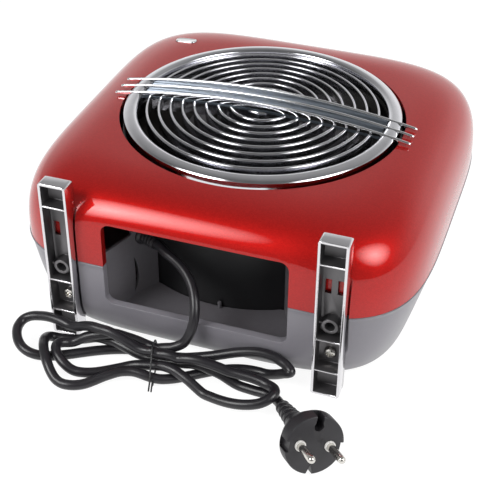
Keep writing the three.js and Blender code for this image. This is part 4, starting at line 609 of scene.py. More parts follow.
fins = [turned("fin", fin_profile(FIN_FIRST + FIN_PITCH * k), 160) for k in range(FIN_COUNT)]
ribs = [strip(RING_INNER + 1, lambda x: web_foot(x) - RIB_DEPTH, lambda x: web_foot(x) - GAP,
              side * BAR_PITCH - RIB_HALF, side * BAR_PITCH + RIB_HALF) for side in SIDES]
grille = joined(turned("grille_rings", ring_profile(), 200), *fins, turned("eye", eye_profile(), 96), *ribs)
tools = [strip(WEB_HALF_X + GAP, lambda x: web_foot(x) - GAP, lambda x: bar_top(x) + OVER,
               -WEB_HALF_Y - GAP, WEB_HALF_Y + GAP)]
for y in (-BAR_PITCH, 0.0, BAR_PITCH):
    tools.append(strip(HALF_BAR + GAP, lambda x: bar_foot(x) - GAP, lambda x: bar_top(x) + OVER,
                       y - BAR_HALF_WIDTH - GAP, y + BAR_HALF_WIDTH + GAP))
dress(cut(grille, *tools), FIN, "grille", degrees=35)


def bar_section(x, y, slim):
    """A bar's section, flat below and round on top."""
    low, high = bar_foot(x), bar_top(x)
    middle = (low + high) / 2
    half = (high - low) / 2 * slim
    wide = BAR_HALF_WIDTH * slim
    section = [(x, y - wide, middle - half), (x, y + wide, middle - half)]
    for k in range(7):
        turn = math.pi * k / 6
        section.append((x, y + wide * math.cos(turn), middle + half - wide + wide * math.sin(turn)))
    return section


def bar(name, y, steps=96):
    """A bar that narrows over its last stretch."""
    stations = [(-HALF_BAR + 2 * HALF_BAR * i / steps, 1.0) for i in range(1, steps)]
    for inward in (0.0, 0.6, BAR_NOSE):
        slim = 0.45 + 0.55 * math.sin(inward / BAR_NOSE * math.pi / 2)
        stations += [(side * (HALF_BAR - inward), slim) for side in SIDES]
    return loft(name, [bar_section(x, y, slim) for x, slim in sorted(stations)])


for word, y in (("upper", BAR_PITCH), ("middle", 0.0), ("lower", -BAR_PITCH)):
    dress(bar("bar_" + word + "_round", y), CHROME, "bar_" + word, degrees=40)
web = strip(WEB_HALF_X, web_foot, web_top, -WEB_HALF_Y, WEB_HALF_Y, "web_plate")
dress(web, WEB, "bar_web", degrees=40)

# Feet

FOOT_WALL, FOOT_WEB, FOOT_RIB_HALF, FOOT_RIBS = 1.7, 2, 0.55, (20, 44.5, 101)
FOOT_BEVEL, FOOT_CORNER = 2.2, 1.8
BOSS_Z, BOSS_HEIGHT, BOSS, BOSS_BORE, BOSS_RIB_HALF, BOSS_RIB_DROP = 54, 9, 5.3, 3.2, 0.8, 7 / 3
SLOT_X, SLOT_HALF, SLOT_LOW, SLOT_HIGH = 4, 2, 74, 84.5
# How deep a face lies in a foot, from its sides, its sole and its web, before it counts as inside and takes
# the painted shade
INSIDE_SIDE, INSIDE_SOLE, INSIDE_WEB = 1.5, 0.6, 0.5


def foot(name):
    half = FOOT_WIDTH / 2
    outline = [(SOLE_Y, 0), (FOOT_INNER, 0), (FOOT_INNER, FOOT_LENGTH - FOOT_BEVEL),
               (FOOT_INNER - FOOT_BEVEL, FOOT_LENGTH), (SOLE_Y, FOOT_LENGTH)]
    corners = rounded(half, FOOT_LENGTH / 2, FOOT_CORNER, y=FOOT_LENGTH / 2)
    piece = kept(prism(outline, -half, half, "x", name),
                 prism(corners, SOLE_Y - OVER, FOOT_INNER + OVER, "y"))
    walls = [(0, FOOT_WALL)] + [(z - FOOT_RIB_HALF, z + FOOT_RIB_HALF) for z in FOOT_RIBS]
    walls.append((FOOT_LENGTH - FOOT_WALL, FOOT_LENGTH))
    cut(piece, *[box((-half + FOOT_WALL, SOLE_Y - OVER, low), (half - FOOT_WALL, FOOT_INNER - FOOT_WEB, high))
                 for (_, low), (high, _) in zip(walls, walls[1:])])
    top = FOOT_INNER - BOSS_HEIGHT
    upright = at(0, top, BOSS_Z) @ FACING
    rib = box((-half + 1, top + BOSS_RIB_DROP, BOSS_Z - BOSS_RIB_HALF),
              (half - 1, FOOT_INNER - 1, BOSS_Z + BOSS_RIB_HALF))
    joined(piece, rib, moved(disc(BOSS, 0, BOSS_HEIGHT - 1, 40), upright))
    cut(piece, moved(disc(BOSS_BORE, -4, 14, 40), upright),
        moved(disc(SHANK_HOLE, -8, 8, 32), at(0, FOOT_INNER, FOOT_SCREW_Z) @ FACING))
    soften(piece, 0.35)
    slots = [box((x - SLOT_HALF, FOOT_INNER - 5, SLOT_LOW), (x + SLOT_HALF, FOOT_INNER + OVER, SLOT_HIGH))
             for x in (-SLOT_X, SLOT_X)]
    return cut(piece, *slots)


def inside_faces(piece):
    """The faces of a foot that lie in its hollow, which take a dark painted shade."""
    faces = []
    for face in piece.data.polygons:
        x, y, z = face.center / MM
        if abs(x) < FOOT_WIDTH / 2 - INSIDE_SIDE and SOLE_Y + INSIDE_SOLE < y < FOOT_INNER - INSIDE_WEB \
                and INSIDE_SIDE < z < FOOT_LENGTH - INSIDE_SIDE:
            faces.append(face.index)
    return faces


def screw(name, length):
    profile = [(0, -length), (SHANK, -length), (SHANK, -HEAD_HEIGHT), (HEAD, -HEAD_HEIGHT),
               (HEAD - 0.1, -1.3), (3.3, -0.5), (2.2, -0.1), (0, 0)]
    cross = [box((-x, -y, -1.2), (x, y, OVER)) for x, y in ((2.3, 0.5), (0.5, 2.3))]
    return cut(turned(name, profile, 48), *cross)


for side, word in zip(SIDES, ("left", "right")):
    channel = foot("channel_" + word)
    inside = inside_faces(channel)
    dress(moved(channel, at(side * FOOT_X, 0, 0)), CHANNEL, word + "_foot", degrees=35)
    # The hollow's faces take the dark material, a painted shade
    dress_faces(channel, HOLLOW_PAINTED_SHADE, inside)
    head_y = FOOT_INNER - FOOT_WEB - GAP - HEAD_HEIGHT
    place = at(side * FOOT_X, head_y, FOOT_SCREW_Z) @ Matrix.Rotation(math.pi / 2, 4, "X")
    dress(moved(screw("screw_" + word, 10), place), NICKEL, word + "_foot_screw")
for k, (x, y) in enumerate(SCREW_PLACES):
    place = at(x, y, HEAD_SEAT - GAP - HEAD_HEIGHT) @ Matrix.Rotation(math.pi, 4, "X")
    dress(moved(screw("screw_%d" % (k + 1), 59), place), STEEL, "shell_screw_%d" % (k + 1))

# Air duct and cord compartment

DUCT, DUCT_INNER, DUCT_CLEAR, DUCT_TOP = 96, 94.2, 96.4, RING_EDGE - SKIRT - GAP
COLLAR_R = RING - RING_WALL - GAP
BAY_FLOOR, BAY_WALL, BAY_TOP, BUSH_Z, BUSH_ALONG = 15.5, 2.0, 65.0, 61, 9
BUSH_TOP = BUSH_Z + 12.8
FOLD, MOUTH, INNER = (54.9, -104.2), (62.6, UNDERSIDE_Y + BAY_RIM + GAP), (45.6, -86.2)
LEDGE_LOW = BAY_FLOOR - BAY_WALL
BUSH_NECK, BUSH_SHOULDER, BUSH_END, BUSH_LENGTH, BUSH_RIBS = 4.6, 6.4, 3.7, 14, 4
LENS_WIDTH, LENS_TOP = 4.2, 47.0
PIN_X, PIN_R, PIN_HEIGHT = 3.8, 1.3, 5

duct = [(DUCT_INNER, WALL + GAP), (DUCT, WALL + GAP), (DUCT, DUCT_TOP), (COLLAR_R, DUCT_TOP),
        (COLLAR_R, DUCT_TOP - 2), (DUCT_INNER, DUCT_TOP - 4)]
dress(turned("duct_tube", duct, 200), DUCT_PLASTIC, "air_duct", degrees=30)


def wall_strip(side, start, end, low, high):
    a = Vector((side * start[0], start[1]))
    b = Vector((side * end[0], end[1]))
    along = (b - a).normalized()
    b = b + along * BAY_WALL / 2
    across = Vector((along.y, -along.x)) * side * BAY_WALL
    return prism([tuple(a), tuple(b), tuple(b + across), tuple(a + across)], low, high)


def bent(a, b, c, steps=12):
    return [tuple((1 - t) ** 2 * Vector(a) + 2 * t * (1 - t) * Vector(b) + t * t * Vector(c))
            for t in (i / steps for i in range(steps))]


def lens_slot(along):
    """The lens-shaped slot in the left wall's second panel."""
    foot_z = BAY_FLOOR + BAY_WALL
    bend = 0.45 * foot_z + 0.55 * LENS_TOP - LENS_WIDTH
    outline = bent((0, foot_z), (2 * LENS_WIDTH, bend), (0.2 * LENS_WIDTH, LENS_TOP))
    outline += bent((0.2 * LENS_WIDTH, LENS_TOP), (0.6 * LENS_WIDTH, bend), (0, foot_z))
    turn = Matrix.Rotation(math.atan2(along.y, along.x), 4, "Z")
    return moved(prism(outline, -4 * BAY_WALL, 4 * BAY_WALL, "y"), at(-FOLD[0], FOLD[1], 0) @ turn)


along = Vector((-INNER[0] + FOLD[0], INNER[1] - FOLD[1], 0)).normalized()
bush_axis = Vector((along.y, -along.x, 0))
bush_seat = Vector((-FOLD[0], FOLD[1], BUSH_Z)) + along * BUSH_ALONG
bush_frame = facing_along(bush_seat, bush_axis)
bay_rear = UNDERSIDE_Y + WALL + UNDERSIDE_BLEND + GAP
bay = box((-MOUTH[0], bay_rear, LEDGE_LOW), (MOUTH[0], INNER[1], BAY_FLOOR), "bay_liner")
for side in SIDES:
    joined(bay, wall_strip(side, MOUTH, FOLD, LEDGE_LOW, BAY_TOP),
           wall_strip(side, FOLD, INNER, LEDGE_LOW, BUSH_TOP if side < 0 else BAY_TOP))
cut(bay, disc(DUCT_CLEAR, 0, FACE, 200), moved(disc(BUSH_NECK + GAP, -6, 6, 48), bush_frame),
    lens_slot(along))
pin_top = BAY_FLOOR + PIN_HEIGHT
pin = [(0, LEDGE_LOW), (PIN_R, LEDGE_LOW), (PIN_R, pin_top - 0.6), (PIN_R - 0.3, pin_top), (0, pin_top)]
joined(bay, moved(turned("pin", pin, 32), at(PIN_X, -DUCT_CLEAR - PIN_R - GAP, 0)))
dress(bay, BAY, "cord_bay", degrees=30)

relief = [(0, -9), (BUSH_NECK, -9), (BUSH_NECK, GAP), (BUSH_SHOULDER, GAP), (BUSH_SHOULDER, GAP + 1.2),
          (BUSH_SHOULDER - 0.3, GAP + 1.6), (BUSH_NECK, GAP + 2.4)]
for k in range(BUSH_RIBS):
    z = GAP + 3.2 + 2.6 * k
    r = BUSH_NECK - 0.16 * k
    relief += [(r, z), (r, z + 1.4), (r - 0.55, z + 1.7), (r - 0.55, z + 2.4)]
relief += [(BUSH_END + 0.2, BUSH_LENGTH - 0.4), (BUSH_END, BUSH_LENGTH), (0, BUSH_LENGTH)]
dress(moved(turned("strain_relief", relief, 64), bush_frame), PLUG, "cord_bush", degrees=30)

# Rear intake

LOUVRE_PITCH, LOUVRE_HALF, LOUVRE_REACH, SPINE_HALF, SHORTEST = 11.2, 2.1, 68, 2.5, 15

intake = joined(disc(INTAKE, 0, 4.7, 200, "intake_louvres"),
                disc(INTAKE + 5, WALL + GAP, WALL + GAP + 1.8, 200))
slots = []
for row in range(-6, 7):
    y = row * LOUVRE_PITCH
    half = math.sqrt(max(0.0, LOUVRE_REACH ** 2 - (abs(y) + LOUVRE_HALF) ** 2))
    if half > SHORTEST:
        slots += [side_box(s, (SPINE_HALF, y - LOUVRE_HALF, -OVER), (half, y + LOUVRE_HALF, 8))
                  for s in SIDES]
dress(soften(cut(intake, *slots), 0.4), GREY, "rear_grille", degrees=35)

# Controls on the upper side

SHAFT_HOLE, LENS_R, LENS_STEM, LENS_RISE = 3.3, 4, 2.8, 1.6
KNOB_GAP = 0.5
KNOB_HEIGHT = KNOB_TOP - PANEL_Y - KNOB_GAP
SKIRT_R, GRIP_R, GRIPS, SOCKET, SOCKET_DEPTH = 16, 15, 6, 3.15, 6.9

panel = joined(panel_block(0, 0, PANEL_Y - PANEL_THICK, PANEL_Y, 12, 0, "panel_plate"),
               panel_block(-PANEL_STEP, -PANEL_STEP, PANEL_Y - 2 * PANEL_THICK, PANEL_Y - PANEL_THICK / 2,
                           12, 0))
openings = [moved(disc(radius, -8, 8, 48), at(x, PANEL_Y, 0) @ FACING)
            for x, radius in ((-KNOB_X, SHAFT_HOLE), (KNOB_X, SHAFT_HOLE), (0, LENS_STEM + GAP))]
panel = soften(cut(panel, *openings), 0.45)
dress(moved(panel, at(0, 0, KNOB_Z)), BLACK, "control_panel", degrees=35)
dome = [(0, -9), (LENS_STEM, -9), (LENS_STEM, GAP), (LENS_R, GAP)]
for k in range(9):
    turn = k * math.pi / 16
    dome.append((LENS_R * math.cos(turn), GAP + 0.3 + LENS_RISE * math.sin(turn)))
dome = moved(turned("lamp_dome", dome, 48), at(0, PANEL_Y, KNOB_Z) @ FACING)
dress(dome, LENS, "pilot_lens", degrees=50)


def knob(name, x):
    h = KNOB_HEIGHT
    profile = [(0, 0), (SKIRT_R - 0.3, 0), (SKIRT_R, 0.3), (SKIRT_R, 2.6), (SKIRT_R - 0.3, 3),
               (GRIP_R + 0.1, 3.6), (GRIP_R, 4.2), (GRIP_R - 0.9, h - 1.6), (GRIP_R - 1.25, h - 0.7),
               (GRIP_R - 1.9, h - 0.1), (GRIP_R - 2.4, h), (0, h)]
    grooves = [moved(disc(1.1, 5, h + OVER, 24), Matrix.Rotation(2 * math.pi * (k + 0.5) / GRIPS, 4, "Z") @
                     at(GRIP_R + 0.1, 0, 0)) for k in range(GRIPS)]
    pointer = box((GRIP_R / 4, -0.9, h - 0.7), (0.8 * GRIP_R, 0.9, h + OVER))
    piece = cut(turned(name, profile), *grooves, pointer, disc(SOCKET, -OVER, SOCKET_DEPTH + GAP, 32))
    return moved(piece, at(x, PANEL_Y + KNOB_GAP, KNOB_Z) @ FACING)


dress(knob("dial_thermostat", -KNOB_X), BLACK, "thermostat_knob", "thermostat_dial", degrees=30)
dress(knob("dial_mode", KNOB_X), BLACK, "mode_knob", "mode_dial", degrees=30)

# Rotor and its bearings, rounder than the solids

BRIDGE_X, BRIDGE_Y, BRIDGE_Z, HUB, BORE = 24.7, 7.5, 2.6, 5, 2.46
SHAFT, SHAFT_LOW, SHAFT_HIGH, CORE, CORE_LOW, CORE_HIGH = 2.4, 14.8, 68.7, 14, 24.3, 42.3


def bridge(name, low, leg_low, leg_high):
    piece = box((-BRIDGE_X, -BRIDGE_Y, low), (BRIDGE_X, BRIDGE_Y, low + BRIDGE_Z), name)
    legs = [side_box(s, (BRIDGE_X - BRIDGE_Z, -BRIDGE_Y, leg_low), (BRIDGE_X, BRIDGE_Y, leg_high))
            for s in SIDES]
    joined(piece, *legs, disc(HUB, low - 1.2, low + BRIDGE_Z + 1.2, 48))
    return cut(soften(piece, 0.3), disc(BORE, 0, FACE, 48))


dress(bridge("bearing_rear", 17.3, 17.3, 24), STEEL, "rear_bearing_bridge")
dress(bridge("bearing_front", 46.7, 42.6, 49.3), STEEL, "front_bearing_bridge")
rotor = [(0, SHAFT_LOW), (SHAFT - 0.2, SHAFT_LOW), (SHAFT, SHAFT_LOW + 0.2), (SHAFT, CORE_LOW),
         (CORE - 0.4, CORE_LOW), (CORE, CORE_LOW + 0.4), (CORE, CORE_HIGH - 0.4), (CORE - 0.4, CORE_HIGH),
         (SHAFT, CORE_HIGH), (SHAFT, SHAFT_HIGH - 0.2), (SHAFT - 0.2, SHAFT_HIGH), (0, SHAFT_HIGH)]
dress(turned("rotor_round", rotor, 64), STEEL, "motor_rotor", "fan", degrees=40)

# Plug

PLUG_PLACE = Vector((101.2, UNDERSIDE_Y - 69.4, 20.3))
PLUG_ROLL = -0.094 * math.pi
PLUG_R, PLUG_BACK, PLUG_DEPTH = 18.5, 30, 9
NOTCH_FLOOR, KEY_R, KEY_HALF, VEE_HALF = PLUG_R - 6.5, 3, 2.3, 3.22
PRONG_X, PRONG_R, COLLAR_HEIGHT = 9.5, 2.4, 1.2
SLEEVE_START, SLEEVE_END, SLEEVE_LENGTH, SLEEVE_RIBS = 4.2, 6.12, 21.5, 4

aim = Vector((0.614, -0.743, 0.265)).normalized()
across = Matrix.Rotation(PLUG_ROLL, 3, aim) @ Vector((-aim.y, aim.x, 0)).normalized()
upward = aim.cross(across).normalized()
plug_frame = Matrix.Translation(PLUG_PLACE) @ Matrix((across, upward, aim)).transposed().to_4x4()
body = [(0, -PLUG_BACK), (6.6, -PLUG_BACK), (7.2, -29.4), (7.6, -27.5), (9.2, -23.6), (12.2, -19),
        (14.6, -15.8), (15.9, -13.5), (16.6, -11.6), (17.3, -9.9), (18.2, -9.3), (PLUG_R, -8.9),
        (PLUG_R, -0.9), (18.3, -0.35), (17.7, 0), (0, 0)]
vee = [(0, -NOTCH_FLOOR), (VEE_HALF, -PLUG_R - OVER), (-VEE_HALF, -PLUG_R - OVER)]
tools = [moved(disc(KEY_R, -PLUG_DEPTH, PLUG_DEPTH, 40), at(0, NOTCH_FLOOR, 0)),
         box((-KEY_HALF, NOTCH_FLOOR, -PLUG_DEPTH), (KEY_HALF, PLUG_R + OVER, OVER)),
         prism(vee, -PLUG_DEPTH, PLUG_DEPTH)]
tools += [side_box(side, (PLUG_R - 2.4, -4.6, -PLUG_DEPTH), (PLUG_R + 2.4, 2.3, OVER)) for side in SIDES]
plug = cut(turned("plug_moulding", body, 128), *tools)
joined(plug, *[moved(disc(3.3, -1, COLLAR_HEIGHT, 40), at(side * PRONG_X, 0, 0)) for side in SIDES])
cut(plug, *[moved(disc(PRONG_R + 0.02, -PLUG_DEPTH, OVER, 40), at(side * PRONG_X, 0, 0)) for side in SIDES])
collars = [face.index for face in plug.data.polygons if face.center.z > 0.01 * MM]
plug_pieces = [dress(moved(plug, plug_frame), PLUG, "plug_body", degrees=32)]
dress_faces(plug, COLLAR, collars)
prong = [(0, GAP - PLUG_DEPTH), (PRONG_R - 0.1, GAP - PLUG_DEPTH), (PRONG_R - 0.1, COLLAR_HEIGHT),
         (PRONG_R, 1.5), (PRONG_R, 16.2), (2.25, 17.2), (1.8, 18.2), (1.1, 18.8), (0, 19)]
for side, word in zip(SIDES, ("left", "right")):
    piece = moved(turned("prong_" + word, prong, 48), plug_frame @ at(side * PRONG_X, 0, 0))
    plug_pieces.append(dress(piece, NICKEL, "plug_pin_" + word, degrees=40))
sleeve_top = -PLUG_BACK - GAP
sleeve_foot = sleeve_top - SLEEVE_LENGTH
sleeve = [(0, sleeve_foot), (SLEEVE_START - 0.3, sleeve_foot), (SLEEVE_START, sleeve_foot + 0.4)]
for k in range(SLEEVE_RIBS):
    share = (k + 0.5) / SLEEVE_RIBS
    z = sleeve_foot + SLEEVE_LENGTH * share
    r = SLEEVE_START + share * (SLEEVE_END - SLEEVE_START)
    sleeve += [(r, z - 1.9), (r + 0.15, z - 1.3), (r - 0.1, z - 0.5), (r - 0.9, z - 0.1), (r - 0.9, z + 0.9),
               (r + 0.1, z + 1.3)]
sleeve += [(SLEEVE_END, sleeve_top - 0.7), (SLEEVE_END, sleeve_top), (0, sleeve_top)]
sleeve = moved(turned("plug_relief", sleeve, 64), plug_frame)
plug_pieces.append(dress(sleeve, PLUG, "plug_sleeve", degrees=28))

# Cord, on the route that the solids' source works out

CORD_R, TIE_R, TIE_GAP = 3.25, 0.55, 0.48
CORD_FLOOR = CORD_R + 0.1
TIE_ROOM = 2 * TIE_R + TIE_GAP
TIE_OFFSET, TIE_LEAN, TIE_TWIST, TIE_TAIL, TIE_ARC_STEPS, TIE_STEPS = 4.3, -0.28, 0.9, 6, 3, 90
WAIST_X, WAIST_Y, WAIST_FADE = -24, UNDERSIDE_Y - 21.6, 34
PITCH, HUMP_REACH, SETTLE_PASSES = 7.7, 22, 8
END_STRAIGHT = 2 * CORD_R
STRANDS = (1, -0.5, 0, 1.5, -1.5, 0.5)
# Each lobe: reach, pinch, waves of its Y (two uneven, two even), rises above the floor (first half, end,
# second half, lean) and the ranks of its two halves, of which the higher lies over the lower
LOBES = (
    (53.4, -0.12, (-2.55, -8.96, 4.78, 2.29), (7, 3, 0, 0), (5, 3)),
    (78.2, -0.12, (-0.71, -4.87, -6.91, 0.2), (0, 8, 8.5, 0), (2.5, 6)),
    (90.8, -0.02, (5.1, -13.01, 9.61, 3.42), (13, 8, 0, 0), (6, 0)),
    (81.7, -0.12, (-0.74, 18.34, -1.03, -5.13), (0, 0, 0, 6.8), (1.2, 1)),
    (64.6, -0.12, (14.28, -17.6, -6.07, -6.99), (0, 0, 0, 0), (3.2, 4)),
)
LOBE_STEPS, LEAN_EVEN = 40, 1.18
RUN_RANKS, RUN_DROP_X, RUN_STEPS = (4, -1), 24, 26
# Points chosen: X, Y from the underside, Z
RUN_POINTS = ((2, -17.8, 3.4), (23.9, -18, 3.4), (36.4, -19.2, 3.4), (48, -20.4, 3.4), (57.5, -21.6, 3.6))
LEAD_POINTS = ((-28.5, 25.6, 59.8), (-20, 21.4, 58.2), (-11.5, 15.8, 55.4), (-4.8, 9.4, 51),
               (-0.4, 2.6, 45.4), (1.6, -3, 38.4), (1.2, -6.4, 31.2), (-0.6, -8.9, 25), (-3.6, -11, 20))
HANK_START, HANK_AIM = (-14, -13.7, 15.6), Vector((-6.2, -0.8, -1.5)).normalized()


def from_underside(point):
    x, y, z = point
    return Vector((x, UNDERSIDE_Y + y, z))


def hundredths(points):
    """The points rounded to a hundredth of a millimetre."""
    return [Vector(round(c, 2) for c in point) for point in points]


def curve_point(points, place):
    """A point of the centripetal curve through the points, where place counts the points passed."""
    i = min(int(place), len(points) - 2)
    p1, p2 = points[i], points[i + 1]
    p0 = points[i - 1] if i else 2 * p1 - p2
    p3 = points[i + 2] if i + 2 < len(points) else 2 * p2 - p1
    t1 = (p1 - p0).length ** 0.5
    t2 = t1 + (p2 - p1).length ** 0.5
    t3 = t2 + (p3 - p2).length ** 0.5
    t = t1 + (t2 - t1) * (place - i)
    a1 = p0.lerp(p1, t / t1)
    a2 = p1.lerp(p2, (t - t1) / (t2 - t1))
    a3 = p2.lerp(p3, (t - t2) / (t3 - t2))
    b1 = a1.lerp(a2, t / t2)
    b2 = a2.lerp(a3, (t - t1) / (t3 - t1))
    return b1.lerp(b2, (t - t1) / (t2 - t1))


def smooth_line(points, parts):
    """The curve with that many parts between each two points."""
    return [curve_point(points, i / parts) for i in range((len(points) - 1) * parts + 1)]


def even_line(points, steps, divisions=200):
    """The curve in equal steps, measured along its chords."""
    places = [(len(points) - 1) * k / divisions for k in range(divisions + 1)]
    chords = [curve_point(points, place) for place in places]
    reach = [0.0]
    for a, b in zip(chords, chords[1:]):
        reach.append(reach[-1] + (b - a).length)
    line, k = [], 0
    for i in range(steps + 1):
        target = reach[-1] * i / steps
        while k < divisions - 1 and reach[k + 1] < target:
            k += 1
        share = (target - reach[k]) / (reach[k + 1] - reach[k])
        line.append(curve_point(points, places[k] + share * (places[k + 1] - places[k])))
    return line


def wave(share, count):
    return math.sin(count * math.pi * share)


def eased(share):
    return share * share * (3 - 2 * share)


def lobe_trail(index):
    """One lobe's points as X, Y, rank and the height that it keeps."""
    side = -1 if index % 2 == 0 else 1
    reach, pinch, (sway, fine_sway, belly, fine_belly), (first, end, second, lean), ranks = LOBES[index]
    start_y, end_y = (WAIST_Y + strand * PITCH for strand in STRANDS[index:index + 2])
    trail = []
    for i in range(1, LOBE_STEPS + 1):
        t = i / LOBE_STEPS
        half = 0 if t < 0.5 else 1
        uneven, even = wave(t, 1) - wave(t, 5) / 5, wave(t, 2) - wave(t, 4) / 2
        x = WAIST_X + side * reach * (wave(t, 1) + pinch * wave(t, 3))
        y = start_y + (end_y - start_y) * eased(t) + sway * (wave(t, 1) - wave(t, 3) / 3) + fine_sway * uneven
        y += belly * even + fine_belly * (wave(t, 2) - wave(t, 6) / 3)
        rise = (first, second)[half] * wave(t, 2) ** 2 + end * wave(t, 1) ** 6
        rise += lean * (LEAN_EVEN * uneven + even)
        trail.append((x, y, ranks[half], CORD_FLOOR + rise))
    return trail


def settled(trail):
    """Rests each strand on the floor, on the tie or in a long low hump over the strands laid before it."""
    along = [0.0]
    for a, b in zip(trail, trail[1:]):
        along.append(along[-1] + math.dist(a[:2], b[:2]))
    bases = [CORD_FLOOR + TIE_ROOM * eased(max(0.0, 1 - abs(x - WAIST_X) / WAIST_FADE)) for x, *_ in trail]
    floors = [max(point[3], base) for point, base in zip(trail, bases)]
    spots = range(len(trail))
    crossings, humps = [], []
    for i in spots:
        for j in spots:
            apart, passed = math.dist(trail[i][:2], trail[j][:2]), abs(along[i] - along[j])
            if trail[j][2] < trail[i][2] and apart < PITCH and passed >= 4 * PITCH:
                crossings.append((i, j, math.sqrt(PITCH ** 2 - apart ** 2)))
            if passed < HUMP_REACH:
                humps.append((i, j, math.cos(passed / HUMP_REACH * math.pi / 2) ** 2))
    heights = floors
    for _ in range(SETTLE_PASSES):
        needs = list(floors)
        for i, j, rise in crossings:
            needs[i] = max(needs[i], heights[j] + rise)
        heights = list(floors)
        for i, j, share in humps:
            heights[i] = max(heights[i], bases[i] + (needs[j] - bases[j]) * share)
    ends = (0, 1, 2, len(trail) - 3, len(trail) - 2, len(trail) - 1)
    return [Vector((*trail[i][:2], trail[i][3] if i in ends else heights[i])) for i in spots]


def hank_points(start, end):
    """The lobes to the left and right of the tie, and the last run over a lobe's end to the plug."""
    straight = (0, 0.5 * END_STRAIGHT, END_STRAIGHT)
    trail = [(p.x, p.y, LOBES[0][4][0], p.z) for p in (start + HANK_AIM * reach for reach in straight)]
    for index in range(len(LOBES)):
        trail += lobe_trail(index)
    waist = Vector((WAIST_X, WAIST_Y + STRANDS[-1] * PITCH, CORD_FLOOR))
    run_end = end - aim * END_STRAIGHT
    run = even_line([waist, *map(from_underside, RUN_POINTS), run_end], RUN_STEPS)[1:-1]
    trail += [(p.x, p.y, RUN_RANKS[p.x >= RUN_DROP_X], max(p.z, CORD_FLOOR)) for p in run]
    trail += [(p.x, p.y, RUN_RANKS[1], p.z) for p in (run_end + aim * reach for reach in straight)]
    return settled(trail)


def tie_x(y):
    return WAIST_X + TIE_OFFSET + TIE_LEAN * (y - WAIST_Y)


def tie_centres(strands):
    """The strands round which the tie bends, as (Y, Z): the upper hull of those it crosses, closed below."""
    crossed = [((a.y + b.y) / 2, max(a.z, b.z)) for a, b in zip(strands, strands[1:])
               if (a.x - tie_x(a.y)) * (b.x - tie_x(b.y)) <= 0]
    hull = []
    for y, z in sorted(crossed, key=lambda point: (point[0], -point[1])):
        while len(hull) > 1 and (hull[-1][0] - hull[-2][0]) * (z - hull[-2][1]) >= \
                (hull[-1][1] - hull[-2][1]) * (y - hull[-2][0]):
            hull.pop()
        hull.append((y, z))
    low = CORD_FLOOR + TIE_ROOM
    first = [(hull[0][0], low)] if hull[0][1] > low + GAP else []
    last = [(hull[-1][0], low)] if hull[-1][1] > low + GAP else []
    return first + hull + last


def tie_points(strands):
    """A wire round the bundle at the waist, with its two ends standing out side by side."""
    centres = tie_centres(strands)
    clear = CORD_R + TIE_R + TIE_GAP
    arcs = []
    for k, (y, z) in enumerate(centres):
        before, after = centres[k - 1], centres[(k + 1) % len(centres)]
        start = math.atan2(y - before[0], before[1] - z) if k else math.pi
        end = math.atan2(after[0] - y, z - after[1])
        arcs.append((y, z, start, end - 2 * math.pi if end > start else end))
    arcs.append((*centres[0], -math.pi / 2, -math.pi))
    outline = []
    for y, z, start, end in arcs:
        for i in range(TIE_ARC_STEPS + 1):
            turn = start + (end - start) * i / TIE_ARC_STEPS
            point = (y + clear * math.cos(turn), z + clear * math.sin(turn))
            if not outline or math.dist(point, outline[-1]) > TIE_R:
                outline.append(point)
    loop = outline[:1]
    for a, b in zip(outline, outline[1:]):
        if math.dist(a, b) > 2 * CORD_R:
            loop += [(a[0] + (b[0] - a[0]) * part, a[1] + (b[1] - a[1]) * part) for part in (0.25, 0.75)]
        loop.append(b)
    points = [(y, z, TIE_TWIST * (2 * i / (len(loop) - 1) - 1)) for i, (y, z) in enumerate(loop)]
    for out in (2 * TIE_R, TIE_TAIL):
        tail = (centres[0][0] - clear - out, CORD_FLOOR + TIE_ROOM - out / 4)
        points = [(*tail, -TIE_TWIST), *points, (*tail, TIE_TWIST)]
    return [Vector((tie_x(y) + shift, y, z)) for y, z, shift in points]


def wire(name, line, radius, resolution):
    curve = bpy.data.curves.new(name, "CURVE")
    curve.dimensions = "3D"
    curve.bevel_depth = radius * MM
    curve.bevel_resolution = resolution
    curve.use_fill_caps = True
    spline = curve.splines.new("POLY")
    spline.points.add(len(line) - 1)
    for point, place in zip(spline.points, line):
        point.co = (*(place * MM), 1)
    spline.use_smooth = True
    piece = bpy.data.objects.new(name, curve)
    scene.collection.objects.link(piece)
    return piece


lead_start = bush_seat + bush_axis * (BUSH_LENGTH + GAP)
hank_start = from_underside(HANK_START)
lead_end = hank_start - HANK_AIM * GAP
lead = [lead_start, lead_start + bush_axis * END_STRAIGHT / 2, *map(from_underside, LEAD_POINTS),
        lead_end - HANK_AIM * END_STRAIGHT / 2, lead_end]
hank = hank_points(hank_start, PLUG_PLACE + aim * (sleeve_foot - GAP))
route = smooth_line(hundredths(lead), 6)[:-1] + smooth_line(hundredths(hank), 3)
cord = dress(wire("mains_cord", route, CORD_R, 5), RUBBER, ("cord_lead", "cord_hank"))
tie_line = hundredths(even_line(tie_points(hank), TIE_STEPS))
tie = dress(wire("wire_tie", tie_line, TIE_R, 3), BLACK, "cord_tie")

# Pieces that stay as the solids made them

for name, material in {
    "motor_bracket": STEEL, "motor_stator": STEEL, "motor_coil": COPPER, "fan_wheel": BLACK,
    "heater_frame": MICA_PAINTED_SHADE, "heating_element": ALLOY, "thermal_cutout": STEEL, "thermostat_shaft": STEEL,
    "thermostat": WHITE, "mode_shaft": STEEL, "mode_switch": WHITE, "terminal_block": WHITE,
}.items():
    nodes[name].data.materials.clear()
    nodes[name].data.materials.append(material)

# Floor, light and camera, in metres

WHITE_COLOR = (1, 1, 1, 1)


def higher(tree, first, second):
    greater = node(tree, "Math")
    greater.operation = "MAXIMUM"
    link(tree, first, greater.inputs[0])
    link(tree, second, greater.inputs[1])
    return greater.outputs["Value"]


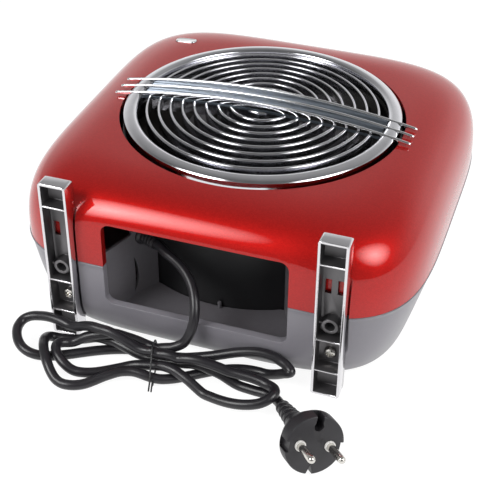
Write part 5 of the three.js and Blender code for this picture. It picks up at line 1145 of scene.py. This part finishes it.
def seen_rays(tree):
    """1 on rays that look at the background: from the camera, mirrored or let through."""
    path = node(tree, "LightPath")
    return higher(tree, higher(tree, path.outputs["Is Camera Ray"], path.outputs["Is Glossy Ray"]),
                  path.outputs["Is Transmission Ray"])


def choose(tree, lit, seen, output):
    """Shows one shader to the rays that light the object and another to those that look at it."""
    mix = node(tree, "MixShader")
    link(tree, seen_rays(tree), mix.inputs["Fac"])
    link(tree, lit, mix.inputs[1])
    link(tree, seen, mix.inputs[2])
    link(tree, mix.outputs["Shader"], tree.nodes[output].inputs["Surface"])


def make_floor(reach=4000):
    """A white floor that keeps the object's shadow."""
    corners = [(-reach, -reach, -GAP), (reach, -reach, -GAP), (reach, reach, -GAP), (-reach, reach, -GAP)]
    floor = add_object("floor", corners, [(0, 1, 2, 3)])
    white = bpy.data.materials.new("floor_white")
    white.use_nodes = True
    tree = white.node_tree
    skin = tree.nodes["Principled BSDF"]
    skin.inputs["Base Color"].default_value = (0.9, 0.9, 0.9, 1)
    skin.inputs["Roughness"].default_value = 0.9
    glow = node(tree, "Emission", Color=WHITE_COLOR, Strength=0.9)
    shade = node(tree, "BsdfDiffuse", Color=(0.17, 0.17, 0.17, 1))
    seen = node(tree, "AddShader")
    link(tree, glow.outputs["Emission"], seen.inputs[0])
    link(tree, shade.outputs["BSDF"], seen.inputs[1])
    choose(tree, skin.outputs["BSDF"], seen.outputs["Shader"], "Material Output")
    floor.data.materials.append(white)


def make_world():
    """Soft light from above, and a white sweep behind the object that rises to a dim ceiling."""
    world = bpy.data.worlds.new("studio")
    scene.world = world
    world.use_nodes = True
    tree = world.node_tree
    sky = tree.nodes["Background"]
    sky.inputs["Color"].default_value = WHITE_COLOR
    split = node(tree, "SeparateXYZ")
    link(tree, node(tree, "TexCoord").outputs["Generated"], split.inputs["Vector"])
    link(tree, spread(tree, split.outputs["Z"], 0.8, 0.55, 0.0, 0.9), sky.inputs["Strength"])
    backdrop = node(tree, "Background", Color=WHITE_COLOR)
    sweep = node(tree, "Math")
    sweep.operation = "MULTIPLY"
    link(tree, spread(tree, split.outputs["Z"], 0.9, 0.34, 0.25, 0.6), sweep.inputs[0])
    link(tree, spread(tree, split.outputs["Y"], 0.1, 1, -0.15, 0.9), sweep.inputs[1])
    path = node(tree, "LightPath")
    room = node(tree, "Math")
    room.inputs[1].default_value = 0.1
    link(tree, sweep.outputs["Value"], room.inputs[0])
    strength = higher(tree, room.outputs["Value"], path.outputs["Is Camera Ray"])
    link(tree, strength, backdrop.inputs["Strength"])
    choose(tree, sky.outputs["Background"], backdrop.outputs["Background"], "World Output")


def softbox(name, place, target, size, power):
    """A soft lamp that is brightest in its middle and fades out to its rim."""
    light = bpy.data.lights.new(name, "AREA")
    light.shape = "RECTANGLE"
    light.size, light.size_y = size
    light.energy = power
    light.use_nodes = True
    tree = light.node_tree
    where = node(tree, "NewGeometry")
    apart = node(tree, "VectorMath")
    apart.operation = "DISTANCE"
    apart.inputs[1].default_value = (0.5, 0.5, 0)
    link(tree, where.outputs["Parametric"], apart.inputs[0])
    fade = spread(tree, apart.outputs["Value"], 2.0, 0.0, 0.04, 0.5)
    link(tree, fade, tree.nodes["Emission"].inputs["Strength"])
    lamp = bpy.data.objects.new(name, light)
    scene.collection.objects.link(lamp)
    lamp.location = place
    lamp.rotation_euler = (Vector(target) - Vector(place)).to_track_quat("-Z", "Y").to_euler()


# The photograph's view: its focal length in pixels, its target and distance in millimetres
FOCAL_PIXELS, FRAME_PIXELS, SENSOR = 1153.59, 500, 36
TARGET, DISTANCE = Vector((4.285, -36.95, 21.3)), 815.3
BACK, ROLL = Vector((0.2579, -0.7662, 0.5886)).normalized(), math.radians(0.65)


def make_camera():
    camera = bpy.data.cameras.new("camera")
    camera.lens = FOCAL_PIXELS / FRAME_PIXELS * SENSOR
    camera.sensor_width = SENSOR
    camera.clip_start, camera.clip_end = 0.05, 50
    viewer = bpy.data.objects.new("camera", camera)
    scene.collection.objects.link(viewer)
    right = Vector((0, 0, 1)).cross(BACK).normalized()
    top = BACK.cross(right)
    level = right * math.cos(ROLL) + top * math.sin(ROLL)
    plumb = top * math.cos(ROLL) - right * math.sin(ROLL)
    turn = Matrix((level, plumb, BACK)).transposed().to_4x4()
    viewer.matrix_world = Matrix.Translation((TARGET + BACK * DISTANCE) * MM) @ turn
    scene.camera = viewer


make_floor()
make_world()
softbox("key", (-0.65, -0.94, 0.94), (-0.02, -0.13, 0.1), (0.9, 1.2), 23)
softbox("fill", (1.15, -0.45, 0.97), (0.11, -0.11, 0.1), (1.2, 1.2), 24)
make_camera()
scene.view_settings.view_transform = "Standard"
